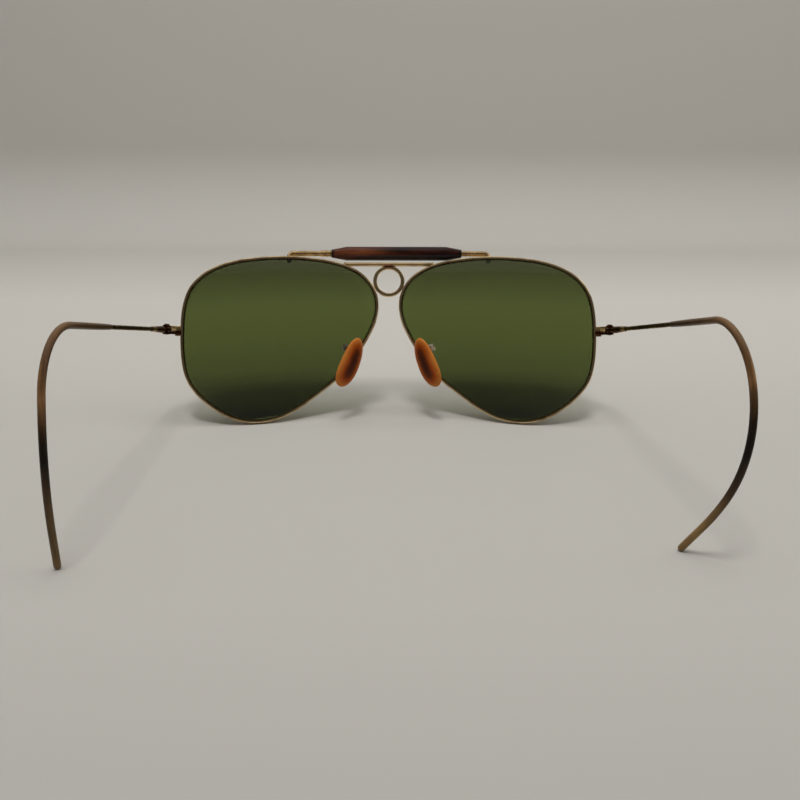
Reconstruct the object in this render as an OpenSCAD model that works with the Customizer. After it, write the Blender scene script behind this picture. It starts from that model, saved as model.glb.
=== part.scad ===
// Teardrop sunglasses with wire rims, a brow bar and cable temples.
// Millimetres. +X is the wearer's right, +Y the way the wearer looks, +Z up.
// The origin is the middle of the small ring under the bridge.
// The open sunglasses stand on both rims and on both temple tips.

/* [Lenses] */
// Width of a lens across its bevel
lens_w = 62; // [56:0.5:64]
// Height of a lens across its bevel
lens_h = 52.8; // [48:0.2:56]
// Gap between the two lenses, bevel to bevel
lens_gap = 9; // [8.6:0.1:11]
// Radius of the ball that the lens faces follow
lens_ball_r = 88; // [80:1:120]
// Thickness of the glass
glass_t = 2; // [1.8:0.1:2.4]
// Height of the bevel round the edge of the glass
bevel_h = 0.5; // [0.4:0.05:0.6]
// Turn of each lens back towards its temple, in degrees
face_wrap = 4.5; // [3:0.5:6]
// Lean of the standing front, top away from the wearer, in degrees
front_lean = 20; // [16:1:24]

/* [Rims] */
// Rim from its front face to its back face
rim_depth = 1.9; // [1.6:0.1:2.4]
// Rim outside the bevel of the lens
rim_wall = 0.78; // [0.6:0.02:1]
// Lip of the rim inside the bevel of the lens
rim_lip = 0.38; // [0.3:0.02:0.42]
// Slit where the rim opens for its lens
rim_slit = 0.2; // [0.1:0.05:0.4]

/* [Bridge and ring] */
// Diameter of the bridge bar
bridge_d = 1.2; // [1:0.1:1.6]
// Middle of the bridge bar below the top of the rims
bridge_drop = 2.68; // [2.2:0.02:3.6]
// Hole through the ring
ring_bore_d = 7.7; // [7.3:0.1:7.9]
// Ring from its hole to its outside
ring_wall = 1.25; // [1.1:0.05:1.4]
// Ring from front to back
ring_depth = 1.2; // [1:0.1:1.5]

/* [Brow bar] */
// Diameter of the brow rod
rod_d = 1.7; // [1.4:0.1:2]
// Span of the brow rod between the middles of its two feet
rod_span = 65; // [60:0.5:68]
// Brow rod above the top of the rims, to its middle
rod_rise = 1.1; // [1:0.05:2]
// Radius of the bends over the feet, to the middle of the rod
rod_bend_r = 1.3; // [1.1:0.1:1.6]
// End of each foot, below the inner lip of the rim
foot_drop = 1.2; // [0.8:0.1:1.5]
// Length of the mottled sleeve
sleeve_len = 42.5; // [36:0.5:44]
// Diameter of the mottled sleeve
sleeve_d = 4.5; // [3.6:0.05:4.6]
// Length of the cone at each end of the sleeve
sleeve_cone = 5; // [3:0.5:7]
// Diameter of the sleeve's end faces
sleeve_end_d = 2.6; // [2.4:0.1:3]
// Middle of the sleeve, off the middle of the front
sleeve_shift = 2.5; // [0:0.1:3]
// Length of the turned collar
collar_len = 3.5; // [3:0.1:5]
// Diameter of the rings on the collar
collar_d = 2.3; // [2.1:0.1:2.6]

/* [Rim locks and hinges] */
// Hinge screw outwards of the lens bevel
hinge_out = 4.4; // [4.2:0.1:5]
// Hinge screw behind the lens bevel
hinge_back = 3.2; // [3:0.1:3.8]
// Rim lock outwards of the rim
lock_w = 1.9; // [1.7:0.1:2.2]
// Rim lock from front to back
lock_depth = 2.6; // [2.3:0.1:3]
// Height of each half of the rim lock
lock_h = 1.25; // [1.05:0.05:1.6]
// Diameter of the hinge knuckles
knuckle_d = 2.5; // [2.2:0.1:2.8]
// Height of the middle knuckle
mid_knuckle_h = 1.1; // [1:0.1:1.4]
// Height of each outer knuckle
outer_knuckle_h = 0.8; // [0.7:0.1:1.1]
// Width of the arm from lock to knuckle
web_w = 1.2; // [1:0.1:1.4]
// Diameter of the hinge and closing screws
screw_d = 0.9; // [0.8:0.05:1]
// Diameter of the screw heads
screw_head_d = 1.6; // [1.4:0.1:1.8]
// Height of the screw heads
screw_head_h = 0.4; // [0.35:0.05:0.5]

/* [Temples] */
// Straight run of a temple, from its hinge screw to its bend
temple_straight = 74.5; // [70:0.5:80]
// Diameter of the temple wire
wire_d = 1.24; // [1:0.02:1.3]
// Thick end of the temple root
root_d = 2.2; // [1.8:0.1:2.4]
// End of the temple root, from the hinge screw
root_len = 15; // [11:0.5:16]
// Start of the sheath, from the hinge screw
sheath_start = 49.5; // [46:0.5:54]
// Diameter of the sheath
sheath_d = 1.75; // [1.55:0.05:2]
// Taper at the front end of the sheath
sheath_taper = 12; // [8:0.5:14]
// Wire held inside the front end of the sheath
wire_grip = 15; // [13:0.5:18]
// Straight end of the sheath
tip_len = 8; // [6:0.5:10]
// Closed end of the sheath past its cable
tip_plug = 1.5; // [1:0.1:2.5]

/* [Left temple bends] */
// Splay of the open left temple, in degrees
left_splay = 2; // [0:0.5:5]
// Radius of the left bend over the ear
left_bend_r = 17; // [15:0.5:19]
// Turn of the left bend, in degrees
left_bend = 84; // [80:1:88]
// Outward roll of the left bend, in degrees
left_bend_roll = -1.5; // [-4:0.5:4]
// Radius of the left curve behind the ear
left_curve_r = 52; // [46:1:60]
// Turn of the left curve, in degrees
left_curve = 27; // [23:1:31]
// Outward roll of the left curve, in degrees
left_curve_roll = 12.5; // [8:0.5:16]

/* [Right temple bends] */
// Splay of the open right temple, in degrees
right_splay = 4.5; // [0:0.5:6]
// Radius of the right bend over the ear
right_bend_r = 15; // [13:0.5:17]
// Turn of the right bend, in degrees
right_bend = 85; // [80:1:88]
// Outward roll of the right bend, in degrees
right_bend_roll = 7; // [2:0.5:10]
// Radius of the right curve behind the ear
right_curve_r = 37.5; // [34:0.5:42]
// Turn of the right curve, in degrees
right_curve = 45; // [40:1:48]
// Outward roll of the right curve, in degrees
right_curve_roll = -30.5; // [-34:0.5:-26]

/* [Both tails] */
// Radius of the tail before the straight end
tail_r = 65; // [50:1:80]
// Turn of the tail, in degrees
tail_turn = 8; // [5:1:12]

/* [Nose pads] */
// Length of a pad
pad_len = 16.6; // [14:0.2:17]
// Width of a pad
pad_w = 8.4; // [7.5:0.1:9]
// Thickness of a pad
pad_t = 3; // [2.6:0.1:3.2]
// Middle of a pad, from the middle of the front
pad_x = 12.4; // [12.2:0.1:13.5]
// Middle of a pad, behind the lenses
pad_back = 9.6; // [9.2:0.1:10]
// Middle of a pad, below the middle of the lenses
pad_drop = 7.6; // [7:0.1:8.5]
// Lean of a pad, top towards the nose, in degrees
pad_lean = 22; // [20:1:24]
// Turn of a pad's face to the wearer, in degrees
pad_face = 38; // [34:1:42]
// Pad pin above the middle of the pad
pad_pin_up = 4; // [3:0.1:4.5]
// Diameter of the pad pin
pad_pin_d = 0.8; // [0.7:0.05:0.9]
// Height of the pad box
pad_box_h = 2.2; // [2:0.1:2.4]
// Side walls of the pad box
pad_box_wall = 0.5; // [0.4:0.05:0.6]
// Thickness of the pad lug
lug_t = 1; // [0.8:0.05:1.2]
// Diameter of the pad arm wire
arm_d = 1.1; // [1:0.05:1.2]
// Root of the pad arm on its rim, below the middle of the lenses
arm_drop = 4; // [3:0.2:5]

/* [Fits] */
// Gap round a turning pin, on the radius
pin_gap = 0.05; // [0.02:0.01:0.08]
// Gap round the middle knuckle, between the arms of the hinge
fork_gap = 0.45; // [0.4:0.05:0.6]
// Gap between faces that slide past each other
side_gap = 0.1; // [0.06:0.01:0.15]
// Gap between the feet of the brow rod and the lenses
foot_gap = 0.03; // [0.02:0.01:0.1]
// Gap between the bevel and its groove
groove_gap = 0.03; // [0.02:0.01:0.05]
// Depth of a brazed joint
braze = 0.25; // [0.15:0.05:0.35]
// Gap round the cable inside its sheath
cable_gap = 0.02; // [0.01:0.01:0.04]

/* [Hidden] */
$fn = 32;
LEFT = -1;
RIGHT = 1;
metal = [0.72, 0.58, 0.32];
dark_metal = [0.30, 0.26, 0.16];
glass = [0.28, 0.33, 0.16];
tortoise = [0.30, 0.11, 0.06];
amber = [0.70, 0.32, 0.10];
brown = [0.34, 0.24, 0.18];

// Outline of the right lens, in halves of its width and height, from the
// rim lock round over the top. The first number runs towards the temple.
teardrop = [
    [1.00, 0.10], [0.90, 0.62], [0.54, 0.91], [-0.08, 1.00], [-0.66, 0.90], [-0.95, 0.64],
    [-0.98, 0.25], [-0.74, -0.26], [-0.50, -0.55], [0.02, -0.95], [0.50, -0.95], [0.92, -0.54]
];
steps = 7;

// A smooth curve through four neighbouring points, from b to c
function curve_at(a, b, c, d, u) =
    (2 * b + (c - a) * u + (2 * a - 5 * b + 4 * c - d) * u * u + (3 * b - a - 3 * c + d) * u * u * u) / 2;
function outline_at(i, u) =
    let (n = len(teardrop))
    curve_at(teardrop[(i + n - 1) % n], teardrop[i], teardrop[(i + 1) % n], teardrop[(i + 2) % n], u);
function xs(list) = [for (p = list) p[0]];
function zs(list) = [for (p = list) p[1]];
function last(list) = list[len(list) - 1];

raw_outline = [for (i = [0:len(teardrop) - 1], k = [0:steps - 1]) outline_at(i, k / steps)];
raw_mid = [max(xs(raw_outline)) + min(xs(raw_outline)), max(zs(raw_outline)) + min(zs(raw_outline))] / 2;
raw_size = [max(xs(raw_outline)) - min(xs(raw_outline)), max(zs(raw_outline)) - min(zs(raw_outline))];
function sized(p) = [(p[0] - raw_mid[0]) * lens_w / raw_size[0], (p[1] - raw_mid[1]) * lens_h / raw_size[1]];

// Bevel line of the lens, and the unit step outwards at each of its points
bevel_line = [for (p = raw_outline) sized(p)];
function outward(a, b) = [b[1] - a[1], a[0] - b[0]] / norm(b - a);
bevel_out = [
    for (i = [0:len(bevel_line) - 1])
        let (n = len(bevel_line))
        outward(bevel_line[(i + n - 1) % n], bevel_line[(i + 1) % n])
];

// Drop of the lens ball behind its foremost point
function sag(x, z) = lens_ball_r - sqrt(lens_ball_r * lens_ball_r - x * x - z * z);
// A point beside the bevel line: so far out of it and so far in front of it
function beside(p, n, out, fore) = [p[0] + out * n[0], fore - sag(p[0], p[1]), p[1] + out * n[1]];

// From a lens to the front, and from the front to the standing sunglasses
lens_x = (lens_w + lens_gap) / 2;
function to_front(p) = [
    lens_x + p[0] * cos(face_wrap) + p[1] * sin(face_wrap),
    p[1] * cos(face_wrap) - p[0] * sin(face_wrap),
    p[2]
];
function rim_point(i, out, fore) = to_front(beside(bevel_line[i], bevel_out[i], out, fore));

// Point at which the nose side of the rim passes a given height, so far out
// of the bevel line
function nose_side_at(z, out = rim_wall) = [
    for (i = [1:len(bevel_line) - 1])
        let (a = rim_point(i - 1, out, 0), b = rim_point(i, out, 0))
        if (a[0] < lens_x && (a[2] - z) * (b[2] - z) <= 0) a + (b - a) * (z - a[2]) / (b[2] - a[2])
];
rim_top = max(zs(bevel_line)) + rim_wall;
bridge_z = rim_top - bridge_drop;
bridge_end = nose_side_at(bridge_z)[0];
bridge_y = bridge_end[1];
ring_r = ring_bore_d / 2;
ring_z = bridge_z - bridge_d / 2 - ring_r - ring_wall + braze;
ring_mid = [0, bridge_y, ring_z];

function to_stand(p) =
    let (q = p - ring_mid)
    [q[0], q[1] * cos(front_lean) + q[2] * sin(front_lean), q[2] * cos(front_lean) - q[1] * sin(front_lean)];
floor_z = min([
    for (i = [0:len(bevel_line) - 1], fore = [-1, 1])
        to_stand(rim_point(i, rim_wall, fore * rim_depth / 2))[2]
]);

rim_edge = 0.25;

// Rim lock and hinge screw, from the lens bevel at the rim's slit
slit_mid = rim_point(0, 0, 0);
hinge = slit_mid + [hinge_out, -hinge_back, 0];
lock_x = slit_mid[0] + rim_wall;
screw_r = screw_d / 2;
closing_x = lock_x + lock_w / 2;
knuckle_r = knuckle_d / 2;
outer_knuckle_z = mid_knuckle_h / 2 + side_gap;
knuckle_top = outer_knuckle_z + outer_knuckle_h;
web_from = [lock_x + lock_w - web_w / 2, slit_mid[1] - lock_depth / 2 + web_w / 2];
web_run = [hinge[0], hinge[1]] - web_from;
lock_top = rim_slit / 2 + lock_h;

// Brow rod, from the top of the rim
rod_r = rod_d / 2;
rod_z = rim_top + rod_rise;
// Point of the bevel line behind a foot. The foot leans with the lens there.
foot_rim = [
    for (i = [1:len(bevel_line) - 1])
        let (a = rim_point(i - 1, 0, 0), b = rim_point(i, 0, 0), x = rod_span / 2)
        if (a[2] > 0 && a[0] >= x && b[0] < x) a + (b - a) * (x - a[0]) / (b[0] - a[0])
][0];
foot_lean = asin(foot_rim[2] / lens_ball_r);
foot_fore = max(rim_depth, glass_t) / 2 + foot_gap;
foot_reach = (rod_z - foot_rim[2] - rod_r * sin(foot_lean)) / cos(foot_lean);
rod_y = foot_rim[1] + foot_fore + rod_r * cos(foot_lean) - foot_reach * sin(foot_lean);
foot_len = foot_reach + rim_lip + foot_drop - rod_r;
solder_r = 0.45;

// Temples. A side holds splay, bend radius, bend, its roll, curve radius, curve, its roll.
left_side = [left_splay, left_bend_r, left_bend, left_bend_roll, left_curve_r, left_curve, left_curve_roll];
right_side = [
    right_splay, right_bend_r, right_bend, right_bend_roll, right_curve_r, right_curve, right_curve_roll
];
wire_r = wire_d / 2;
sheath_r = sheath_d / 2;
tongue_len = knuckle_r + 0.9;
tongue_t = mid_knuckle_h - side_gap;
root_grip = 4;
wire_end = sheath_start + wire_grip;
tip_grip = tip_len - tip_plug;
tube_sides = 12;
bend_steps = 12;
curve_steps = 7;
tail_steps = 2;
sheath_bore_r = (wire_r + cable_gap) / cos(180 / tube_sides);
sheath_edge = 0.08;

// Frame of a run: where it is, the way it goes and the way it bends
function go(f, d) = [f[0] + f[1] * d, f[1], f[2]];
function roll(f, a) = [f[0], f[1], f[2] * cos(a) + cross(f[1], f[2]) * sin(a)];
function bend(f, r, a) = [
    f[0] + f[1] * r * sin(a) + f[2] * r * (1 - cos(a)),
    f[1] * cos(a) + f[2] * sin(a),
    f[2] * cos(a) - f[1] * sin(a)
];
function bends(f, r, a, n) = [for (i = [1:n]) bend(f, r, a * i / n)];

// Frames of a hook in the frame of its temple, from the end of the straight
// run to the end of the tail
function hook_frames(s) =
    let (
        start = go([[0, 0, 0], [0, 0, 1], [1, 0, 0]], temple_straight),
        over = bends(roll(start, s[3]), s[1], s[2], bend_steps),
        behind = bends(roll(last(over), s[6]), s[4], s[5], curve_steps)
    )
    concat([start], over, behind, bends(last(behind), tail_r, tail_turn, tail_steps));

// Ring of points round a frame. Its corners are turned back by the rolls so
// far, so that neighbouring rings stay in line.
function ring_at(f, r, back = 0) = [
    for (j = [0:tube_sides - 1])
        let (a = 360 * j / tube_sides - back)
        f[0] + r * (f[2] * cos(a) + cross(f[1], f[2]) * sin(a))
];
function straight_ring(d, r) = ring_at([[0, 0, d], [0, 0, 1], [1, 0, 0]], r);
function hook_rings(s, r) =
    let (frames = hook_frames(s))
    [for (i = [0:len(frames) - 1])
        ring_at(frames[i], r, i == 0 ? 0 : i <= bend_steps ? s[3] : s[3] + s[6])];

// Tip of a temple that lies square to the front, from its hinge
function tip_from_hinge(s) =
    let (p = go(last(hook_frames(s)), tip_len)[0])
    [p[1], -p[2], -p[0]];

// Rise of a temple from square to the front, so that its tip reaches the floor
function rise(s) =
    let (
        tip = tip_from_hinge(s),
        sl = sin(front_lean),
        cl = cos(front_lean),
        level = floor_z + sheath_r - to_stand(hinge)[2] + sl * sin(s[0]) * tip[0],
        p = cl * tip[2] - sl * cos(s[0]) * tip[1],
        q = -cl * tip[1] - sl * cos(s[0]) * tip[2]
    )
    asin(level / norm([p, q])) - atan2(p, q);

// Nose pads
pad_mid = [pad_x, -pad_back, -pad_drop];
pin_r = pad_pin_d / 2;
pad_box_w = lug_t + 2 * side_gap + 2 * pad_box_wall;
pad_box_gap = 0.5;
pad_box_depth = 2.4;
pin_depth = pad_t / 2 + pad_box_gap + 1;
lug_r = 0.8;
box_back = pad_t / 2 + pad_box_gap + pad_box_depth;
arm_r = arm_d / 2;
arm_root = nose_side_at(-arm_drop, (rim_wall - rim_lip) / 2)[0];
arm_stub = 1.2;
arm_lead = 0.9;
arm_seat = pin_r + arm_r + 0.1;
arm_seat_turn = 40;
arm_steps = 4;
socket_depth = 0.8;
lug_disc_r = 1.2;
pad_rings = 14;
pad_sides = 16;

module standing() {
    rotate([-front_lean, 0, 0]) translate(-ring_mid) children();
}

module on_side(side) {
    mirror([side == LEFT ? 1 : 0, 0, 0]) children();
}

// A closed skin over rings of points, ended at two single points. The points
// of a ring turn right-handed about the way from ring to ring.
module skin(rings, start, end) {
    m = len(rings[0]);
    n = len(rings);
    points = concat([start], [for (r = rings) each r], [end]);
    polyhedron(points, concat(
        [for (j = [0:m - 1]) [0, 1 + j, 1 + (j + 1) % m]],
        [for (i = [0:n - 2], j = [0:m - 1])
            [1 + i * m + j, 1 + (i + 1) * m + (j + 1) % m, 1 + i * m + (j + 1) % m]],
        [for (i = [0:n - 2], j = [0:m - 1])
            [1 + i * m + j, 1 + (i + 1) * m + j, 1 + (i + 1) * m + (j + 1) % m]],
        [for (j = [0:m - 1]) [1 + n * m, 1 + (n - 1) * m + (j + 1) % m, 1 + (n - 1) * m + j]]
    ));
}

// A closed skin over rings of points, the last of which meets the first
module skin_loop(rings) {
    m = len(rings[0]);
    n = len(rings);
    polyhedron([for (r = rings) each r], concat(
        [for (i = [0:n - 1], j = [0:m - 1])
            [i * m + j, (i + 1) % n * m + (j + 1) % m, i * m + (j + 1) % m]],
        [for (i = [0:n - 1], j = [0:m - 1])
            [i * m + j, (i + 1) % n * m + j, (i + 1) % n * m + (j + 1) % m]]
    ));
}

// Round bar along X, centred
module bar(length, r) {
    translate([-length / 2, 0, 0]) rotate([0, 90, 0]) cylinder(r = r, h = length);
}

// Quarter bend of a round bar, from +Z towards +X. Its children start where it ends.
module quarter_bend(r, bar_r) {
    translate([r, 0, 0]) rotate([-90, 0, 0]) rotate([0, 0, 180])
        rotate_extrude(angle = 90) translate([r, 0]) circle(r = bar_r);
    translate([r, 0, r]) rotate([0, 90, 0]) children();
}

// Rim: a grooved section swept round the lens, open at its slit
rim_section = [
    [-rim_lip, bevel_h * 0.9], [groove_gap, 0.12], [groove_gap, -0.12], [-rim_lip, -bevel_h * 0.9],
    [-rim_lip, -rim_depth / 2], [rim_wall - rim_edge, -rim_depth / 2],
    [rim_wall, rim_edge - rim_depth / 2], [rim_wall, rim_depth / 2 - rim_edge],
    [rim_wall - rim_edge, rim_depth / 2], [-rim_lip, rim_depth / 2]
];
slit_step = rim_slit / 2 / norm(bevel_line[1] - bevel_line[0]);
function slit_point(near, next, out, fore) =
    rim_local(near, out, fore) + (rim_local(next, out, fore) - rim_local(near, out, fore)) * slit_step;
function rim_local(i, out, fore) = beside(bevel_line[i], bevel_out[i], out, fore);
function section_at(i) = [for (c = rim_section) rim_local(i, c[0], c[1])];

module rim(side) {
    n = len(bevel_line);
    mid_wall = rim_wall / 2;
    rings = concat(
        [[for (c = rim_section) slit_point(0, 1, c[0], c[1])]],
        [for (i = [1:n - 1]) section_at(i)],
        [[for (c = rim_section) slit_point(0, n - 1, c[0], c[1])]]
    );
    color(metal) standing() on_side(side)
        translate([lens_x, 0, 0]) rotate([0, 0, -face_wrap])
            skin(rings, slit_point(0, 1, mid_wall, 0), slit_point(0, n - 1, mid_wall, 0));
}

// Lens: a curved plate with a bevel round its edge
function lens_ring(share, out, face) = [
    for (i = [0:len(bevel_line) - 1])
        let (p = bevel_line[i] * share + bevel_out[i] * out)
        [p[0], face * glass_t / 2 - sag(p[0], p[1]), p[1]]
];
function bevel_ring(out, fore) = [for (i = [0:len(bevel_line) - 1]) rim_local(i, out, fore)];

module lens(side) {
    shelf = -bevel_h - groove_gap;
    rings = [
        lens_ring(0.35, 0, 1), lens_ring(0.7, 0, 1), lens_ring(1, shelf, 1),
        bevel_ring(shelf, bevel_h * 0.8), bevel_ring(0, 0.07),
        bevel_ring(0, -0.07), bevel_ring(shelf, -bevel_h * 0.8),
        lens_ring(1, shelf, -1), lens_ring(0.7, 0, -1), lens_ring(0.35, 0, -1)
    ];
    color(glass, 0.7) standing() on_side(side)
        translate([lens_x, 0, 0]) rotate([0, 0, -face_wrap])
            skin(rings, [0, glass_t / 2, 0], [0, -glass_t / 2, 0]);
}

module bridge_bar() {
    color(metal) standing() translate([0, bridge_y, bridge_z])
        bar(2 * (bridge_end[0] + braze), bridge_d / 2);
}

// Ring with a straight wall in its hole and rounded edges
module bridge_ring() {
    edge = 0.2;
    color(metal) standing()
        translate(ring_mid) rotate([90, 0, 0]) rotate_extrude() {
            translate([ring_r, edge - ring_depth / 2]) square([ring_wall, ring_depth - 2 * edge]);
            translate([ring_r + edge, -ring_depth / 2]) square([ring_wall - 2 * edge, ring_depth]);
            for (x = [ring_r + edge, ring_r + ring_wall - edge], y = [-1, 1])
                translate([x, y * (ring_depth / 2 - edge)]) circle(r = edge);
        }
}

// Brow rod: a bar over the bridge. Its ends bend down along the lenses and
// are soldered to the rims.
module brow_rod() {
    half = rod_span / 2 - rod_bend_r;
    color(metal) standing() translate([0, rod_y, rod_z]) {
        bar(2 * half, rod_r);
        for (side = [LEFT, RIGHT]) on_side(side)
            translate([half, 0, 0]) rotate([foot_lean, 0, 0]) {
                rotate([0, 90, 0]) quarter_bend(rod_bend_r, rod_r) {
                    cylinder(r = rod_r, h = foot_len - rod_bend_r);
                    translate([0, 0, foot_len - rod_bend_r]) sphere(r = rod_r);
                }
                translate([rod_bend_r, 0, rim_wall / 4 - foot_reach]) rotate([90, 0, 0])
                    cylinder(r = solder_r, h = rod_r + foot_fore - rim_depth / 2 + braze);
            }
    }
}

module brow_sleeve() {
    half = sleeve_len / 2;
    end_r = sleeve_end_d / 2;
    r = sleeve_d / 2;
    color(tortoise) standing()
        translate([sleeve_shift, rod_y, rod_z]) rotate([0, 90, 0]) rotate_extrude()
            polygon([
                [rod_r, -half], [end_r, -half], [r, sleeve_cone - half],
                [r, half - sleeve_cone], [end_r, half], [rod_r, half]
            ]);
}

// Collar with turned rings, on the rod at the left end of the sleeve
module brow_collar() {
    rings = 4;
    pitch = collar_len / rings;
    neck_r = collar_d / 2 - 0.15;
    color(metal) standing()
        translate([sleeve_shift - sleeve_len / 2 - collar_len, rod_y, rod_z]) rotate([0, 90, 0])
            difference() {
                union() {
                    cylinder(r = neck_r, h = collar_len);
                    for (i = [0:rings - 1])
                        translate([0, 0, pitch * (i + 0.25)]) cylinder(d = collar_d, h = pitch / 2);
                }
                translate([0, 0, -1]) cylinder(r = rod_r, h = collar_len + 2);
            }
}

// Half of a rim lock, with its arm and outer knuckle. It is drawn above the
// slit and mirrored to stand below it. The two arms are hollowed to a fork
// round the middle knuckle. Each screw is clear on its head's side and held
// tight by the thread on the other.
module lock_half(closing_r, hinge_r) {
    rounding = 0.4;
    deep = lock_depth / 2;
    back_x = lock_x - braze;
    front_x = lock_x + lock_w;
    difference() {
        union() {
            translate([back_x, slit_mid[1] - deep, rim_slit / 2])
                cube([front_x - rounding - back_x, lock_depth, lock_h]);
            translate([back_x, slit_mid[1] - deep + rounding, rim_slit / 2])
                cube([front_x - back_x, lock_depth - 2 * rounding, lock_h]);
            for (y = [-1, 1])
                translate([front_x - rounding, slit_mid[1] + y * (deep - rounding), rim_slit / 2])
                    cylinder(r = rounding, h = lock_h);
            difference() {
                translate([web_from[0], web_from[1], rim_slit / 2])
                    rotate([0, 0, atan2(web_run[1], web_run[0])])
                        translate([0, -web_w / 2, 0])
                            cube([norm(web_run), web_w, lock_h]);
                translate([hinge[0], hinge[1], -1])
                    cylinder(r = knuckle_r + fork_gap, h = outer_knuckle_z + 1);
            }
            translate([hinge[0], hinge[1], outer_knuckle_z])
                cylinder(r = knuckle_r, h = outer_knuckle_h);
        }
        translate([hinge[0], hinge[1], 0]) cylinder(r = hinge_r, h = knuckle_top + 1);
        translate([closing_x, slit_mid[1], 0]) cylinder(r = closing_r, h = lock_top + 1);
    }
}

module upper_lock(side) {
    color(metal) standing() on_side(side)
        translate([0, 0, hinge[2]]) lock_half(screw_r, screw_r + pin_gap);
}

module lower_lock(side) {
    color(metal) standing() on_side(side)
        translate([0, 0, hinge[2]]) mirror([0, 0, 1]) lock_half(screw_r + pin_gap, screw_r);
}

// Slotted screw with its head at the top of its run
module screw(length) {
    slot_w = 0.25;
    slot_d = 0.25;
    cylinder(r = screw_r, h = length);
    translate([0, 0, length]) difference() {
        cylinder(d = screw_head_d, h = screw_head_h);
        translate([-screw_head_d, -slot_w / 2, screw_head_h - slot_d])
            cube([2 * screw_head_d, slot_w, slot_d + 1]);
    }
}

// Closing screw: up through the lower half of the rim lock into the upper half
module closing_screw(side) {
    color(metal) standing() on_side(side)
        translate([closing_x, slit_mid[1], hinge[2] + lock_top])
            mirror([0, 0, 1]) screw(2 * lock_top);
}

// Hinge screw: down through the three knuckles
module hinge_screw(side) {
    past = 0.15;
    color(dark_metal) standing() on_side(side)
        translate([hinge[0], hinge[1], hinge[2] - knuckle_top - past])
            screw(2 * knuckle_top + past);
}

// Frame of a temple at its hinge: +Z runs back along the temple, +X bends down
module along_temple(side, s) {
    standing() on_side(side)
        translate(hinge) rotate([-rise(s), 0, s[0]]) rotate([90, 0, 0]) rotate([0, 0, -90])
            children();
}

// Root of a temple: middle knuckle, tongue and tapered socket for the wire
module temple_root(side, s) {
    swell = 2.4;
    tongue_w = 1.5;
    color(metal) {
        difference() {
            union() {
                standing() on_side(side) translate(hinge - [0, 0, mid_knuckle_h / 2])
                    cylinder(r = knuckle_r, h = mid_knuckle_h);
                along_temple(side, s) {
                    intersection() {
                        translate([-tongue_t / 2, -tongue_w / 2, 0])
                            cube([tongue_t, tongue_w, tongue_len + swell / 2]);
                        translate([-mid_knuckle_h, 0, tongue_len / 2]) rotate([0, 90, 0])
                            cylinder(r = tongue_len, h = 2 * mid_knuckle_h);
                    }
                    translate([0, 0, tongue_len])
                        cylinder(r1 = tongue_t / 2, r2 = root_d / 2, h = swell);
                    translate([0, 0, tongue_len + swell])
                        cylinder(r1 = root_d / 2, r2 = wire_r + 0.1, h = root_len - tongue_len - swell);
                }
            }
            standing() on_side(side) translate(hinge - [0, 0, mid_knuckle_h])
                cylinder(r = screw_r + pin_gap, h = 2 * mid_knuckle_h);
            along_temple(side, s)
                translate([0, 0, root_len - root_grip]) cylinder(r = wire_r, h = root_grip + 1);
        }
    }
}

module temple_wire(side, s) {
    start = root_len - root_grip;
    color(dark_metal) along_temple(side, s)
        translate([0, 0, start]) cylinder(r = wire_r, h = wire_end - start);
}

// Cable: the bending core of a temple, from the end of its wire into its tip
module cable(side, s) {
    end = go(last(hook_frames(s)), tip_grip);
    rings = concat(
        [straight_ring(wire_end, wire_r)],
        hook_rings(s, wire_r),
        [ring_at(end, wire_r, s[3] + s[6])]
    );
    color(dark_metal) along_temple(side, s) skin(rings, [0, 0, wire_end], end[0]);
}

// Sheath: a tube over the end of the wire and the bent cable
module sheath(side, s) {
    outside = concat(
        [straight_ring(sheath_start, sheath_bore_r + sheath_edge)],
        [straight_ring(sheath_start + sheath_taper, sheath_r)],
        hook_rings(s, sheath_r)
    );
    inside = concat([straight_ring(sheath_start, sheath_bore_r)], hook_rings(s, sheath_bore_r));
    n = len(inside);
    color(brown) along_temple(side, s)
        skin_loop(concat(outside, [for (i = [1:n]) inside[n - i]]));
}

// Frame of a tip: +Z runs out of the end of the tail
module along_tip(s) {
    f = last(hook_frames(s));
    y = cross(f[1], f[2]);
    multmatrix([
        [f[2][0], y[0], f[1][0], f[0][0]],
        [f[2][1], y[1], f[1][1], f[0][1]],
        [f[2][2], y[2], f[1][2], f[0][2]]
    ]) children();
}

// Tip: the straight closed end of a temple, over the end of the cable
module tip(side, s) {
    color(brown) along_temple(side, s) along_tip(s) difference() {
        union() {
            cylinder(r = sheath_r, h = tip_len);
            translate([0, 0, tip_len]) sphere(r = sheath_r);
        }
        translate([0, 0, -1]) cylinder(r = wire_r + cable_gap, h = tip_grip + 1);
    }
}

// Frame of a nose pad: +Z runs up the pad, +X is the face on the nose
module on_pad(side) {
    standing() on_side(side)
        translate(pad_mid) rotate([0, -pad_lean, 0]) rotate([0, 0, 180 + pad_face]) children();
}

// Pad: a plump oval, flatter on its nose face, wider at the bottom
module nose_pad(side) {
    function station(k) = -cos(180 * (k + 0.5) / pad_rings);
    function half_w(t) = pad_w / 2 * sqrt(1 - t * t) * (1 - 0.12 * t);
    function half_t(t) = pad_t / 2 * pow(1 - t * t, 0.4);
    rings = [
        for (k = [0:pad_rings - 1])
            let (t = station(k))
            [for (j = [0:pad_sides - 1])
                let (a = 360 * j / pad_sides)
                [half_t(t) * cos(a) * (cos(a) > 0 ? 0.8 : 1), half_w(t) * sin(a), pad_len / 2 * t]]
    ];
    color(amber, 0.8) on_pad(side) difference() {
        skin(rings, [0, 0, -pad_len / 2], [0, 0, pad_len / 2]);
        pad_socket();
    }
}

// Room in the pad for the disc of its lug
module pad_socket() {
    translate([-pad_t, 0, pad_pin_up]) rotate([0, 90, 0])
        cylinder(r = lug_disc_r, h = pad_t / 2 + socket_depth);
}

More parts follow.
